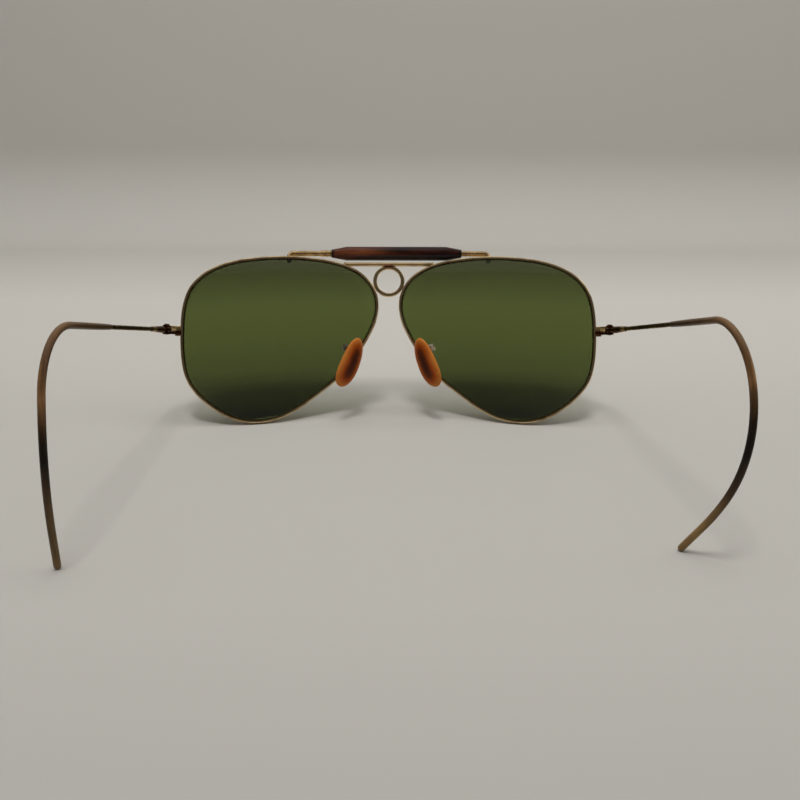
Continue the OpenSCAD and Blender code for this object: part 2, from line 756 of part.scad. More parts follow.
// Lug: a disc set in the pad, with an eye for the pin
module pad_lug(side) {
    neck = pin_depth - pad_t / 2 + socket_depth;
    color(dark_metal) on_pad(side) translate([0, 0, pad_pin_up]) difference() {
        union() {
            translate([-pad_t / 2, 0, 0]) rotate([0, 90, 0])
                cylinder(r = lug_disc_r, h = socket_depth);
            translate([-pin_depth, -lug_t / 2, -lug_r]) cube([neck, lug_t, 2 * lug_r]);
            translate([-pin_depth, lug_t / 2, 0]) rotate([90, 0, 0]) cylinder(r = lug_r, h = lug_t);
        }
        translate([-pin_depth, lug_t, 0]) rotate([90, 0, 0])
            cylinder(r = pin_r + pin_gap, h = 2 * lug_t);
    }
}

module pad_box(side) {
    floor_t = 0.5;
    color(metal) on_pad(side) translate([0, 0, pad_pin_up]) difference() {
        translate([-box_back, -pad_box_w / 2, -pad_box_h / 2])
            cube([pad_box_depth, pad_box_w, pad_box_h]);
        translate([floor_t - box_back, -lug_t / 2 - side_gap, -pad_box_h])
            cube([pad_box_depth, lug_t + 2 * side_gap, 2 * pad_box_h]);
        translate([-pin_depth, pad_box_w, 0]) rotate([90, 0, 0])
            cylinder(r = pin_r, h = 2 * pad_box_w);
    }
}

module pad_pin(side) {
    head_t = 0.25;
    color(metal) on_pad(side)
        translate([-pin_depth, pad_box_w / 2 + head_t, pad_pin_up]) rotate([90, 0, 0]) {
            cylinder(r = pin_r, h = pad_box_w + 2 * head_t);
            cylinder(r = pin_r + 0.2, h = head_t);
        }
}

// From the frame of a pad to the front
function pad_to_front(p) =
    let (
        c = cos(180 + pad_face),
        s = sin(180 + pad_face),
        q = [p[0] * c - p[1] * s, p[0] * s + p[1] * c, p[2]]
    )
    pad_mid + [
        q[0] * cos(pad_lean) - q[2] * sin(pad_lean),
        q[1],
        q[0] * sin(pad_lean) + q[2] * cos(pad_lean)
    ];

// Arm: a bent wire from the back of the rim to the nose side of the pad box,
// below and behind the pin
module pad_arm(side) {
    root = arm_root - [0, rim_depth / 2 - braze, 0];
    knee = root - [0, arm_stub, 0];
    seat_x = -pin_depth - arm_seat * cos(arm_seat_turn);
    seat_z = pad_pin_up - arm_seat * sin(arm_seat_turn);
    elbow = pad_to_front([seat_x, -pad_box_w / 2 - arm_lead, seat_z]);
    end = pad_to_front([seat_x, braze / 2 - pad_box_w / 2, seat_z]);
    line = [2 * root - knee, root, knee, elbow, end, 2 * end - elbow];
    path = concat(
        [for (i = [1:3], k = [0:arm_steps - 1])
            curve_at(line[i - 1], line[i], line[i + 1], line[i + 2], k / arm_steps)],
        [end]
    );
    rings = [
        for (i = [0:len(path) - 1])
            let (way = path[min(i + 1, len(path) - 1)] - path[max(i - 1, 0)], n = cross(way, [0, 0, 1]))
            ring_at([path[i], way / norm(way), n / norm(n)], arm_r)
    ];
    color(metal) standing() on_side(side) skin(rings, root, end);
}

// Places that the record states, in the standing frame
echo(floor_z = floor_z, hinge = to_stand(hinge), rises = [rise(left_side), rise(right_side)]);

rim(LEFT);  // left_rim
rim(RIGHT);  // right_rim
lens(LEFT);  // left_lens
lens(RIGHT);  // right_lens
bridge_bar();
bridge_ring();
brow_rod();
brow_sleeve();
brow_collar();
upper_lock(LEFT);  // left_upper_lock
upper_lock(RIGHT);  // right_upper_lock
lower_lock(LEFT);  // left_lower_lock
lower_lock(RIGHT);  // right_lower_lock
closing_screw(LEFT);  // left_closing_screw
closing_screw(RIGHT);  // right_closing_screw
hinge_screw(LEFT);  // left_hinge_screw
hinge_screw(RIGHT);  // right_hinge_screw
temple_root(LEFT, left_side);  // left_temple_root
temple_root(RIGHT, right_side);  // right_temple_root
temple_wire(LEFT, left_side);  // left_temple_wire
temple_wire(RIGHT, right_side);  // right_temple_wire
cable(LEFT, left_side);  // left_cable
cable(RIGHT, right_side);  // right_cable
sheath(LEFT, left_side);  // left_sheath
sheath(RIGHT, right_side);  // right_sheath
tip(LEFT, left_side);  // left_tip
tip(RIGHT, right_side);  // right_tip
pad_arm(LEFT);  // left_pad_arm
pad_arm(RIGHT);  // right_pad_arm
pad_box(LEFT);  // left_pad_box
pad_box(RIGHT);  // right_pad_box
pad_pin(LEFT);  // left_pad_pin
pad_pin(RIGHT);  // right_pad_pin
pad_lug(LEFT);  // left_pad_lug
pad_lug(RIGHT);  // right_pad_lug
nose_pad(LEFT);  // left_nose_pad
nose_pad(RIGHT);  // right_nose_pad
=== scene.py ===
"""Teardrop sunglasses: detailed pieces, finishes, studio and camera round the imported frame.

Every piece is shaped in millimetres in the frame of the CAD source, then brought to
metres in the standing frame when it is placed.
"""

import logging
import math
from collections.abc import Sequence
from dataclasses import dataclass, field, replace
from enum import Enum, IntEnum

import bmesh
import bpy
from bmesh.types import BMEdge, BMesh, BMVert
from mathutils import Matrix, Vector


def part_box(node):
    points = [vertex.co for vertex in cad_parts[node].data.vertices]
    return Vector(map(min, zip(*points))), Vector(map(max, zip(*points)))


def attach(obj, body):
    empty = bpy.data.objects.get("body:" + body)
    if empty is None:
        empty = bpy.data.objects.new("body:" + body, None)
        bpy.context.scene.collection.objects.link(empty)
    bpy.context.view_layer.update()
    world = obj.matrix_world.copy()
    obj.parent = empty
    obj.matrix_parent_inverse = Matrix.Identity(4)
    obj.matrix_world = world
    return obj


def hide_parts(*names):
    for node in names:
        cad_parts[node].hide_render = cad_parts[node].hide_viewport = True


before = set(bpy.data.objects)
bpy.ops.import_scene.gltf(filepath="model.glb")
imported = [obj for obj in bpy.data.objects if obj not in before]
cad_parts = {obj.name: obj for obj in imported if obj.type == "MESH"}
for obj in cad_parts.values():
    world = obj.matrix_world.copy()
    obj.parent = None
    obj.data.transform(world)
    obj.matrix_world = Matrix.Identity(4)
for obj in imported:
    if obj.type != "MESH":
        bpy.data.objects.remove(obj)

LOG = logging.getLogger("sunglasses")

MM = 0.001
POLE_R = 0.001  # radius, in millimetres, that stands for the pole of a swept piece
SAME_POINT = 0.0005  # distance, in millimetres, within which points are merged
SAME_LEVEL = 1e-5  # difference in height, in millimetres, within which points are level
BEVEL_STEPS = 3

Colour = tuple[float, float, float]
Corner = tuple[float, float, float]
Tones = tuple[Colour, Colour, Colour]
Levels = Sequence[tuple[float, float]]
Stops = Sequence[tuple[float, Colour]]
Socket = bpy.types.NodeSocket

WHITE: Colour = (1.0, 1.0, 1.0)


class Side(Enum):
    """Side of the sunglasses, as the wearer has them."""

    LEFT = -1
    RIGHT = 1

    @property
    def word(self) -> str:
        """Word that names the side in a piece's name."""
        return self.name.lower()

    @property
    def mirror(self) -> Matrix:
        """Matrix that turns a right-hand shape into this side's."""
        return Matrix.Scale(self.value, 4, Vector((1, 0, 0)))


class Body(Enum):
    """Bodies of the frame that pieces ride on."""

    FRONT = "front"
    TEMPLE = "temple"
    PAD = "pad"

    def on(self, side: Side) -> str:
        """Name of this body on one side."""
        return self.value if self is Body.FRONT else f"{side.word}_{self.value}"


class Turn(IntEnum):
    """Steps of a full turn, by what is turned."""

    SOLDER = 20
    WIRE = 28
    BAR = 32
    LUG = 32
    SCREW = 40
    STEM = 40
    KNUCKLE = 48
    COLLAR = 48
    SLEEVE = 64
    RING = 96


# Curves and places


def turned(degrees: float, axis: str) -> Matrix:
    """Turn about an axis, in degrees."""
    return Matrix.Rotation(math.radians(degrees), 4, axis)


Z_TO_X = turned(90, "Y")
Z_TO_BACK = turned(90, "X")
UPSIDE_DOWN = Matrix.Scale(-1, 4, Vector((0, 0, 1)))


def curve_at(a: Vector, b: Vector, c: Vector, d: Vector, u: float) -> Vector:
    """Point of a smooth curve through four neighbouring points, from b to c.

    Args:
        a: Point before the stretch.
        b: Start of the stretch.
        c: End of the stretch.
        d: Point after the stretch.
        u: Share of the stretch, 0 at b and 1 at c.

    Returns:
        The point at that share.
    """
    linear = (c - a) * u
    square = (2 * a - 5 * b + 4 * c - d) * u ** 2
    cube = (3 * b - a - 3 * c + d) * u ** 3
    return (2 * b + linear + square + cube) / 2


def rounded(corners: Sequence[Corner], steps: int, closed: bool = True) -> list[Vector]:
    """Outline with its corners rounded by arcs.

    Args:
        corners: Corner points, each as x, y and the radius of its arc.
        steps: Steps of each arc.
        closed: Whether the last corner joins the first.

    Returns:
        The outline's points, in the plane z = 0.
    """
    points: list[Vector] = []
    count = len(corners)
    for number, (x, y, radius) in enumerate(corners):
        here = Vector((x, y, 0))
        if radius == 0 or (not closed and number in (0, count - 1)):
            points.append(here)
            continue
        before = (Vector((*corners[number - 1][:2], 0)) - here).normalized()
        after = (Vector((*corners[(number + 1) % count][:2], 0)) - here).normalized()
        half = before.angle(after) / 2
        centre = here + (before + after).normalized() * radius / math.sin(half)
        start = here + before * radius / math.tan(half) - centre
        end = here + after * radius / math.tan(half) - centre
        points += [centre + radius * start.slerp(end, k / steps) for k in range(steps + 1)]
    return points


def circle(radius: float, sides: int) -> list[tuple[float, float]]:
    """Corners of a round section."""
    turns = [math.tau * number / sides for number in range(sides)]
    return [(radius * math.cos(turn), radius * math.sin(turn)) for turn in turns]


def dome(radius: float, steps: int = 6) -> list[tuple[float, float]]:
    """Round end of a rod.

    Args:
        radius: Radius of the rod.
        steps: Steps from the rod to the pole.

    Returns:
        How far ahead of the rod each step lies, and the radius there.
    """
    turns = [math.pi / 2 * step / steps for step in range(1, steps)]
    arc = [(radius * math.sin(turn), radius * math.cos(turn)) for turn in turns]
    return [*arc, (radius, POLE_R)]


@dataclass(frozen=True)
class Station:
    """A place on a path, the way that it goes there and the way that its section faces."""

    place: Vector = field(default_factory=Vector)
    way: Vector = field(default_factory=lambda: Vector((0, 0, 1)))
    across: Vector = field(default_factory=lambda: Vector((1, 0, 0)))

    def at(self, x: float, y: float) -> Vector:
        """Point of the section that is x across and y to the left of that."""
        return self.place + x * self.across + y * self.way.cross(self.across)

    def go(self, distance: float) -> "Station":
        """Station that lies straight on."""
        return Station(self.place + self.way * distance, self.way, self.across)

    def roll(self, degrees: float) -> "Station":
        """Station whose section is turned about the way."""
        turn = Matrix.Rotation(math.radians(degrees), 3, self.way)
        return Station(self.place, self.way, turn @ self.across)

    def bend(self, radius: float, degrees: float) -> "Station":
        """Station at the end of a round bend towards the section's face.

        Args:
            radius: Radius of the bend.
            degrees: How far it turns.

        Returns:
            The station.
        """
        angle = math.radians(degrees)
        sine, cosine = math.sin(angle), math.cos(angle)
        return Station(
            self.place + self.way * radius * sine + self.across * radius * (1 - cosine),
            self.way * cosine + self.across * sine,
            self.across * cosine - self.way * sine,
        )


def stations_through(points: Sequence[Vector], up: Vector) -> list[Station]:
    """Stations along a list of points.

    Args:
        points: Points of the path.
        up: Way that no stretch of the path runs along.

    Returns:
        One station for each point.
    """
    stations = []
    for number, point in enumerate(points):
        before = points[max(number - 1, 0)]
        after = points[min(number + 1, len(points) - 1)]
        way = (after - before).normalized()
        stations.append(Station(point, way, way.cross(up).normalized()))
    return stations


# Shapes


def stand(name: str, data: bpy.types.ID) -> bpy.types.Object:
    """Puts a mesh, a lamp or a camera in the scene.

    Args:
        name: Name of the new object.
        data: What it shows.

    Returns:
        The object.
    """
    thing = bpy.data.objects.new(name, data)
    bpy.context.scene.collection.objects.link(thing)
    return thing


def cast(bm: BMesh, name: str, material: bpy.types.Material) -> bpy.types.Object:
    """Makes a mesh under work an object, smooth and with its faces outwards.

    Args:
        bm: The mesh under work, which is freed.
        name: Name of the object.
        material: What it is made of.

    Returns:
        The object.
    """
    bmesh.ops.recalc_face_normals(bm, faces=bm.faces)
    mesh = bpy.data.meshes.new(name)
    bm.to_mesh(mesh)
    bm.free()
    mesh.shade_smooth()
    mesh.materials.append(material)
    return stand(name, mesh)


class Shape:
    """A piece under work, with the operators that shape it."""

    def __init__(self) -> None:
        """Starts an empty piece."""
        self.bm = bmesh.new()
        self.corner = self.bm.verts.layers.int.new("corner")
        self.skin = self.bm.verts.layers.float_vector.new("skin")

    def loft(
        self,
        rings: Sequence[Sequence[Vector]],
        skins: Sequence[Sequence[Vector]] | None = None,
        loop: bool = False,
        poles: bool = False,
    ) -> None:
        """Draws a closed skin over rings of points.

        Args:
            rings: Rings with the same number of points each.
            skins: Surface coordinates of the same points, for patterns.
            loop: Whether the last ring meets the first.
            poles: Whether the first and last ring close to a point.
        """
        bm = self.bm
        first = [bm.verts.new(point) for point in rings[0]]
        for number, vert in enumerate(first):
            vert[self.corner] = number
            vert[self.skin] = skins[0][number] if skins else vert.co
        start = [bm.edges.new(pair) for pair in zip(first, first[1:] + first[:1])]
        edges, verts = start, first
        for step, ring in enumerate(rings[1:], 1):
            made = bmesh.ops.extrude_edge_only(bm, edges=edges)["geom"]
            verts = [part for part in made if isinstance(part, BMVert)]
            fresh = set(verts)
            edges = [
                part
                for part in made
                if isinstance(part, BMEdge) and fresh.issuperset(part.verts)
            ]
            for vert in verts:
                vert.co = ring[vert[self.corner]]
                vert[self.skin] = skins[step][vert[self.corner]] if skins else vert.co
        if loop:
            bmesh.ops.bridge_loops(bm, edges=start + edges)
        elif poles:
            for end in (first, verts):
                middle = sum((vert.co for vert in end), Vector()) / len(end)
                bmesh.ops.pointmerge(bm, verts=end, merge_co=middle)
        else:
            for end in (start, edges):
                bmesh.ops.contextual_create(bm, geom=end)

    def sweep(
        self,
        stations: Sequence[Station],
        sections: Sequence[Sequence[tuple[float, float]]],
        loop: bool = False,
        poles: bool = False,
        start: float = 0.0,
    ) -> None:
        """Draws a closed skin over sections that follow a path.

        Args:
            stations: Places along the path.
            sections: The section at each place.
            loop: Whether the last section meets the first.
            poles: Whether the first and last section close to a point.
            start: Surface coordinate at the first place, for patterns that run on.
        """
        along = [start]
        for before, after in zip(stations, stations[1:]):
            along.append(along[-1] + (after.place - before.place).length)
        rings = [
            [station.at(x, y) for x, y in section]
            for station, section in zip(stations, sections)
        ]
        skins = [
            [Vector((distance, x, y)) for x, y in section]
            for distance, section in zip(along, sections)
        ]
        self.loft(rings, skins, loop, poles)

    def spin(
        self, profile: Sequence[Vector], place: Matrix, steps: Turn, closed: bool = False
    ) -> None:
        """Turns a profile about the Z axis of a place.

        Args:
            profile: Points as distance from the axis and height.
            place: Where the axis stands.
            steps: Steps of the full turn.
            closed: Whether the profile's last point joins its first.
        """
        verts = [self.bm.verts.new((point.x, 0, point.y)) for point in profile]
        pairs = list(zip(verts, verts[1:] + (verts[:1] if closed else [])))
        edges = [self.bm.edges.new(pair) for pair in pairs]
        before = set(self.bm.verts) - set(verts)
        bmesh.ops.spin(
            self.bm,
            geom=verts + edges,
            axis=Vector((0, 0, 1)),
            cent=Vector(),
            angle=math.tau,
            steps=steps,
            use_merge=True,
        )
        made = [vert for vert in self.bm.verts if vert not in before]
        bmesh.ops.remove_doubles(self.bm, verts=made, dist=SAME_POINT)
        made = [vert for vert in self.bm.verts if vert not in before]
        for vert in made:
            vert[self.skin] = Vector((vert.co.z, vert.co.x, vert.co.y))
        bmesh.ops.transform(self.bm, matrix=place, verts=made)

    def prism(
        self, outline: Sequence[Vector], height: float, edge: float, foot: float, place: Matrix
    ) -> None:
        """Raises an outline to a block with softened edges.

        Args:
            outline: Points of the outline, in the plane z = 0.
            height: Height of the block.
            edge: Radius of the edges at its top.
            foot: Radius of the edges at its foot.
            place: Where the block stands.
        """
        bm = self.bm
        before = set(bm.verts)
        verts = [bm.verts.new(point) for point in outline]
        edges = [bm.edges.new(pair) for pair in zip(verts, verts[1:] + verts[:1])]
        face = bmesh.ops.contextual_create(bm, geom=edges)["faces"][0]
        made = bmesh.ops.extrude_face_region(bm, geom=[face])["geom"]
        top = [part for part in made if isinstance(part, BMVert)]
        bmesh.ops.translate(bm, vec=Vector((0, 0, height)), verts=top)
        for level, radius in ((height, edge), (0.0, foot)):
            if radius == 0:
                continue
            rim = [
                bound
                for bound in bm.edges
                if not before.intersection(bound.verts)
                and all(abs(vert.co.z - level) < SAME_LEVEL for vert in bound.verts)
            ]
            bmesh.ops.bevel(
                bm,
                geom=rim,
                offset=radius,
                segments=BEVEL_STEPS,
                profile=0.5,
                affect="EDGES",
                material=-1,
            )
        made_verts = [vert for vert in bm.verts if vert not in before]
        for vert in made_verts:
            vert[self.skin] = vert.co
        bmesh.ops.transform(bm, matrix=place, verts=made_verts)

    def ball(self, size: Vector, place: Matrix) -> None:
        """Adds a rounded lump.

        Args:
            size: Half of its size along each axis.
            place: Where its middle is.
        """
        shape = place @ Matrix.Diagonal((*size, 1))
        made = bmesh.ops.create_uvsphere(
            self.bm, u_segments=24, v_segments=16, radius=1, matrix=shape
        )
        for vert in made["verts"]:
            vert[self.skin] = vert.co

    def place(
        self,
        name: str,
        finish: "Finish",
        matrix: Matrix,
        body: str,
        nodes: Sequence[str] = (),
        sharp: float = 38.0,
    ) -> None:
        """Makes the shape an object, dresses it and ties it to the frame.

        Args:
            name: Name of the piece.
            finish: What it is finished in.
            matrix: From the shape's millimetres to the standing frame's metres.
            body: Body that it rides on.
            nodes: Nodes of the frame that it stands for.
            sharp: Angle in degrees over which an edge stays sharp.
        """
        self.bm.verts.layers.int.remove(self.corner)
        bmesh.ops.transform(self.bm, matrix=matrix, verts=self.bm.verts)
        piece = cast(self.bm, name, finish.material)
        piece.data.set_sharp_from_angle(angle=math.radians(sharp))
        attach(piece, body)
        if nodes:
            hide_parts(*nodes)
        LOG.info("%s: %d faces, finish %s", name, len(piece.data.polygons), finish.slot)


# Finishes


FINE_DETAIL = 2.0  # detail of the noise that raises grain and ripples


class Nodes:
    """The node tree of a material or the world, with short calls for what they use."""

    def __init__(
        self,
        owner: bpy.types.Material | bpy.types.World,
        shader: str = "Principled BSDF",
        output: str = "Material Output",
    ) -> None:
        """Starts on the owner's own nodes.

        Args:
            owner: The material or the world.
            shader: Name of its shader.
            output: Name of its output.
        """
        owner.use_nodes = True
        self.tree = owner.node_tree
        self.shader = self.tree.nodes[shader]
        self.output = self.tree.nodes[output]

    def set(self, **values: float | Colour) -> None:
        """Sets inputs of the shader.

        Args:
            values: The values, by the inputs' names with underscores for blanks.
        """
        for name, value in values.items():
            socket = self.shader.inputs[name.replace("_", " ")]
            is_colour = isinstance(value, tuple) and socket.type == "RGBA"
            socket.default_value = (*value, 1) if is_colour else value

    def add(self, kind: str, **values: object) -> bpy.types.Node:
        """Adds a node.

        Args:
            kind: Blender's name for the kind of node.
            values: Properties to set on it.

        Returns:
            The node.
        """
        node = self.tree.nodes.new(kind)
        for name, value in values.items():
            setattr(node, name, value)
        return node

    def link(self, source: Socket, target: Socket) -> None:
        """Joins two sockets."""
        self.tree.links.new(source, target)

    def coordinates(self, stretch: Colour = (1, 1, 1), skin: bool = False) -> Socket:
        """Coordinates of a point, stretched.

        Args:
            stretch: Factor along each axis.
            skin: Whether they follow the surface, in millimetres, and not the object.

        Returns:
            The socket that gives them.
        """
        if skin:
            source = self.add("ShaderNodeAttribute", attribute_name="skin").outputs["Vector"]
        else:
            source = self.add("ShaderNodeTexCoord").outputs["Object"]
        mapping = self.add("ShaderNodeMapping")
        mapping.inputs["Scale"].default_value = stretch
        self.link(source, mapping.inputs["Vector"])
        return mapping.outputs["Vector"]

    def axis(self, where: Socket, name: str) -> Socket:
        """One coordinate of a point.

        Args:
            where: Coordinates of the point.
            name: X, Y or Z.

        Returns:
            The socket that gives it.
        """
        split = self.add("ShaderNodeSeparateXYZ")
        self.link(where, split.inputs["Vector"])
        return split.outputs[name]

    def away(self, value: Socket) -> Socket:
        """Distance of a value from zero.

        Args:
            value: The value.

        Returns:
            The socket that gives the distance.
        """
        node = self.add("ShaderNodeMath", operation="ABSOLUTE")
        self.link(value, node.inputs[0])
        return node.outputs[0]

    def noise(self, where: Socket, scale: float, detail: float) -> Socket:
        """Noise, from 0 to 1.

        Args:
            where: Coordinates that it is drawn on.
            scale: Its scale.
            detail: Its detail.

        Returns:
            The socket that gives it.
        """
        node = self.add("ShaderNodeTexNoise")
        node.inputs["Scale"].default_value = scale
        node.inputs["Detail"].default_value = detail
        self.link(where, node.inputs["Vector"])
        return node.outputs["Fac"]

    def ramp(self, source: Socket, stops: Stops) -> Socket:
        """Colour that follows a value through stops.

        Args:
            source: The value.
            stops: Values from 0 to 1, each with its colour.

        Returns:
            The socket that gives the colour.
        """
        node = self.add("ShaderNodeValToRGB")
        elements = node.color_ramp.elements
        while len(elements) < len(stops):
            elements.new(0.5)
        for element, (position, colour) in zip(elements, stops):
            element.position = position
            element.color = (*colour, 1)
        self.link(source, node.inputs["Fac"])
        return node.outputs["Color"]

    def span(
        self, source: Socket, start: float, end: float, low: float = 0.0, high: float = 1.0
    ) -> Socket:
        """Value mapped from one span to another, held at its ends.

        Args:
            source: The value.
            start: Where the value's span starts.
            end: Where it ends.
            low: What the start becomes.
            high: What the end becomes.

        Returns:
            The socket that gives the mapped value.
        """
        node = self.add("ShaderNodeMapRange")
        names = ("From Min", "From Max", "To Min", "To Max")
        for name, value in zip(names, (start, end, low, high)):
            node.inputs[name].default_value = value
        self.link(source, node.inputs["Value"])
        return node.outputs["Result"]

    def mix(self, factor: Socket, first: Socket, second: Socket) -> Socket:
        """Mix of two colours.

        Args:
            factor: Share of the second.
            first: The first colour.
            second: The second colour.

        Returns:
            The socket that gives the mix.
        """
        node = self.add("ShaderNodeMix", data_type="RGBA")
        self.link(factor, node.inputs["Factor"])
        self.link(first, node.inputs["A"])
        self.link(second, node.inputs["B"])
        return node.outputs["Result"]

    def multiply(self, first: Socket, second: Socket, factor: float = 1.0) -> Socket:
        """Product of two colours.

        Args:
            first: The first colour.
            second: The second colour.
            factor: How much of the product shows over the first.

        Returns:
            The socket that gives the product.
        """
        node = self.add("ShaderNodeMix", data_type="RGBA", blend_type="MULTIPLY")
        node.inputs["Factor"].default_value = factor
        self.link(first, node.inputs["A"])
        self.link(second, node.inputs["B"])
        return node.outputs["Result"]

    def either(self, factor: Socket, first: Socket, second: Socket) -> None:
        """Gives the output one of two shaders.

        Args:
            factor: 0 for the first and 1 for the second.
            first: The first shader.
            second: The second shader.
        """
        node = self.add("ShaderNodeMixShader")
        for source, target in zip((factor, first, second), node.inputs):
            self.link(source, target)
        self.link(node.outputs["Shader"], self.output.inputs["Surface"])

    def bump(self, height: Socket, distance: float, strength: float) -> None:
        """Raises the surface by a height.

        Args:
            height: The height, from 0 to 1.
            distance: What a height of 1 is, in metres.
            strength: How strongly it shows.
        """
        node = self.add("ShaderNodeBump")
        node.inputs["Distance"].default_value = distance
        node.inputs["Strength"].default_value = strength
        self.link(height, node.inputs["Height"])
        self.link(node.outputs["Normal"], self.shader.inputs["Normal"])


@dataclass(frozen=True)
class Finish:
    """A finish with the record's slot that it belongs to, and a word for its variant."""

    slot: str
    look: str = field(default="plain", kw_only=True)

    @property
    def material(self) -> bpy.types.Material:
        """The finish's material, made once.

        Returns:
            The material.
        """
        name = f"{self.slot}_{self.look}"
        material = bpy.data.materials.get(name)
        if material is None:
            material = bpy.data.materials.new(name)
            self.shade(Nodes(material))
        return material

    def shade(self, nodes: Nodes) -> None:
        """Gives the material its looks.

        Args:
            nodes: The new material's nodes.
        """
        raise NotImplementedError


@dataclass(frozen=True)
class Wear:
    """Stretch along an axis, both ways from its zero, where a metal turns darker: painted shade
    on the rod, rim, hinge and root, and the solder's own tone on the ring.

    On the object it is in metres, on the skin in millimetres.
    """

    axis: str
    clean: float
    dark: float
    skin: bool = False


@dataclass(frozen=True)
class Metal(Finish):
    """Plated metal with soft cloudy tarnish, fine rubbing marks and darker stretches: painted
    shade, and solder on the ring.
    """

    bright: Colour
    dull: Colour
    tarnish: float = 0.35
    rough: float = 0.2
    cloud_scale: float = 260.0
    cloud_detail: float = 5.0
    cloud_middle: float = 0.62
    cloud_width: float = 0.3
    rough_from: tuple[float, float] = (0.3, 0.7)
    rough_to: tuple[float, float] = (0.7, 1.7)
    grain_scale: float = 5200.0
    grain_height: float = 0.00001
    grain_strength: float = 0.25
    wear: tuple[Wear, ...] = ()
    worn: Colour = (0.10, 0.08, 0.04)
    graze: float = 1.0
    graze_warmth: Colour = (1.0, 0.9, 0.8)

    def shade(self, nodes: Nodes) -> None:
        """Gives the metal its clouds, its darker stretches and its grain.

        Args:
            nodes: The new material's nodes.
        """
        tint = tuple(self.graze * part for part in self.graze_warmth)
        nodes.set(Metallic=1.0, Specular_Tint=tint)
        where = nodes.coordinates()
        cloud = nodes.noise(where, self.cloud_scale, self.cloud_detail)
        low = self.cloud_middle - self.tarnish / 2
        colour = nodes.ramp(cloud, [(low, self.bright), (low + self.cloud_width, self.dull)])
        # Darker stretches: painted shade, and on the ring the solder's own tone.
        for wear in self.wear:
            away = nodes.away(nodes.axis(nodes.coordinates(skin=wear.skin), wear.axis))
            share = nodes.span(away, wear.clean, wear.dark)
            colour = nodes.multiply(colour, nodes.ramp(share, [(0.0, WHITE), (1.0, self.worn)]))
        nodes.link(colour, nodes.shader.inputs["Base Color"])
        smooth, coarse = (self.rough * part for part in self.rough_to)
        rough = nodes.span(cloud, *self.rough_from, smooth, coarse)
        nodes.link(rough, nodes.shader.inputs["Roughness"])
        grain = nodes.noise(where, self.grain_scale, FINE_DETAIL)
        nodes.bump(grain, self.grain_height, self.grain_strength)


@dataclass(frozen=True)
class LensGlass(Finish):
    """Green sun glass, darker at its top, with painted shadow darkening its bottom, that lets
    lamps through.
    """

    span_low: float
    span_top: float
    tints_with_painted_shadow: Stops
    ior: float = 1.52
    smear_stretch: Colour = (1, 1, 0.35)
    smear_scale: float = 90.0
    smear_detail: float = 4.0
    smear_from: tuple[float, float] = (0.5, 0.8)
    smear_rough: float = 0.035

    def shade(self, nodes: Nodes) -> None:
        """Gives the glass its tint and its faint smears.

        Args:
            nodes: The new material's nodes.
        """
        nodes.set(Transmission_Weight=1.0, IOR=self.ior)
        # Tint by height: darker towards the top, with painted shadow over the bottom.
        height = nodes.axis(nodes.coordinates(), "Z")
        tint = nodes.ramp(nodes.span(height, self.span_low, self.span_top), self.tints_with_painted_shadow)
        nodes.link(tint, nodes.shader.inputs["Base Color"])
        where = nodes.coordinates(self.smear_stretch)
        smear = nodes.noise(where, self.smear_scale, self.smear_detail)
        rough = nodes.span(smear, *self.smear_from, 0.0, self.smear_rough)
        nodes.link(rough, nodes.shader.inputs["Roughness"])
        clear = nodes.add("ShaderNodeBsdfTransparent")
        nodes.link(tint, clear.inputs["Color"])
        shadow = nodes.add("ShaderNodeLightPath").outputs["Is Shadow Ray"]
        nodes.either(shadow, nodes.shader.outputs["BSDF"], clear.outputs["BSDF"])


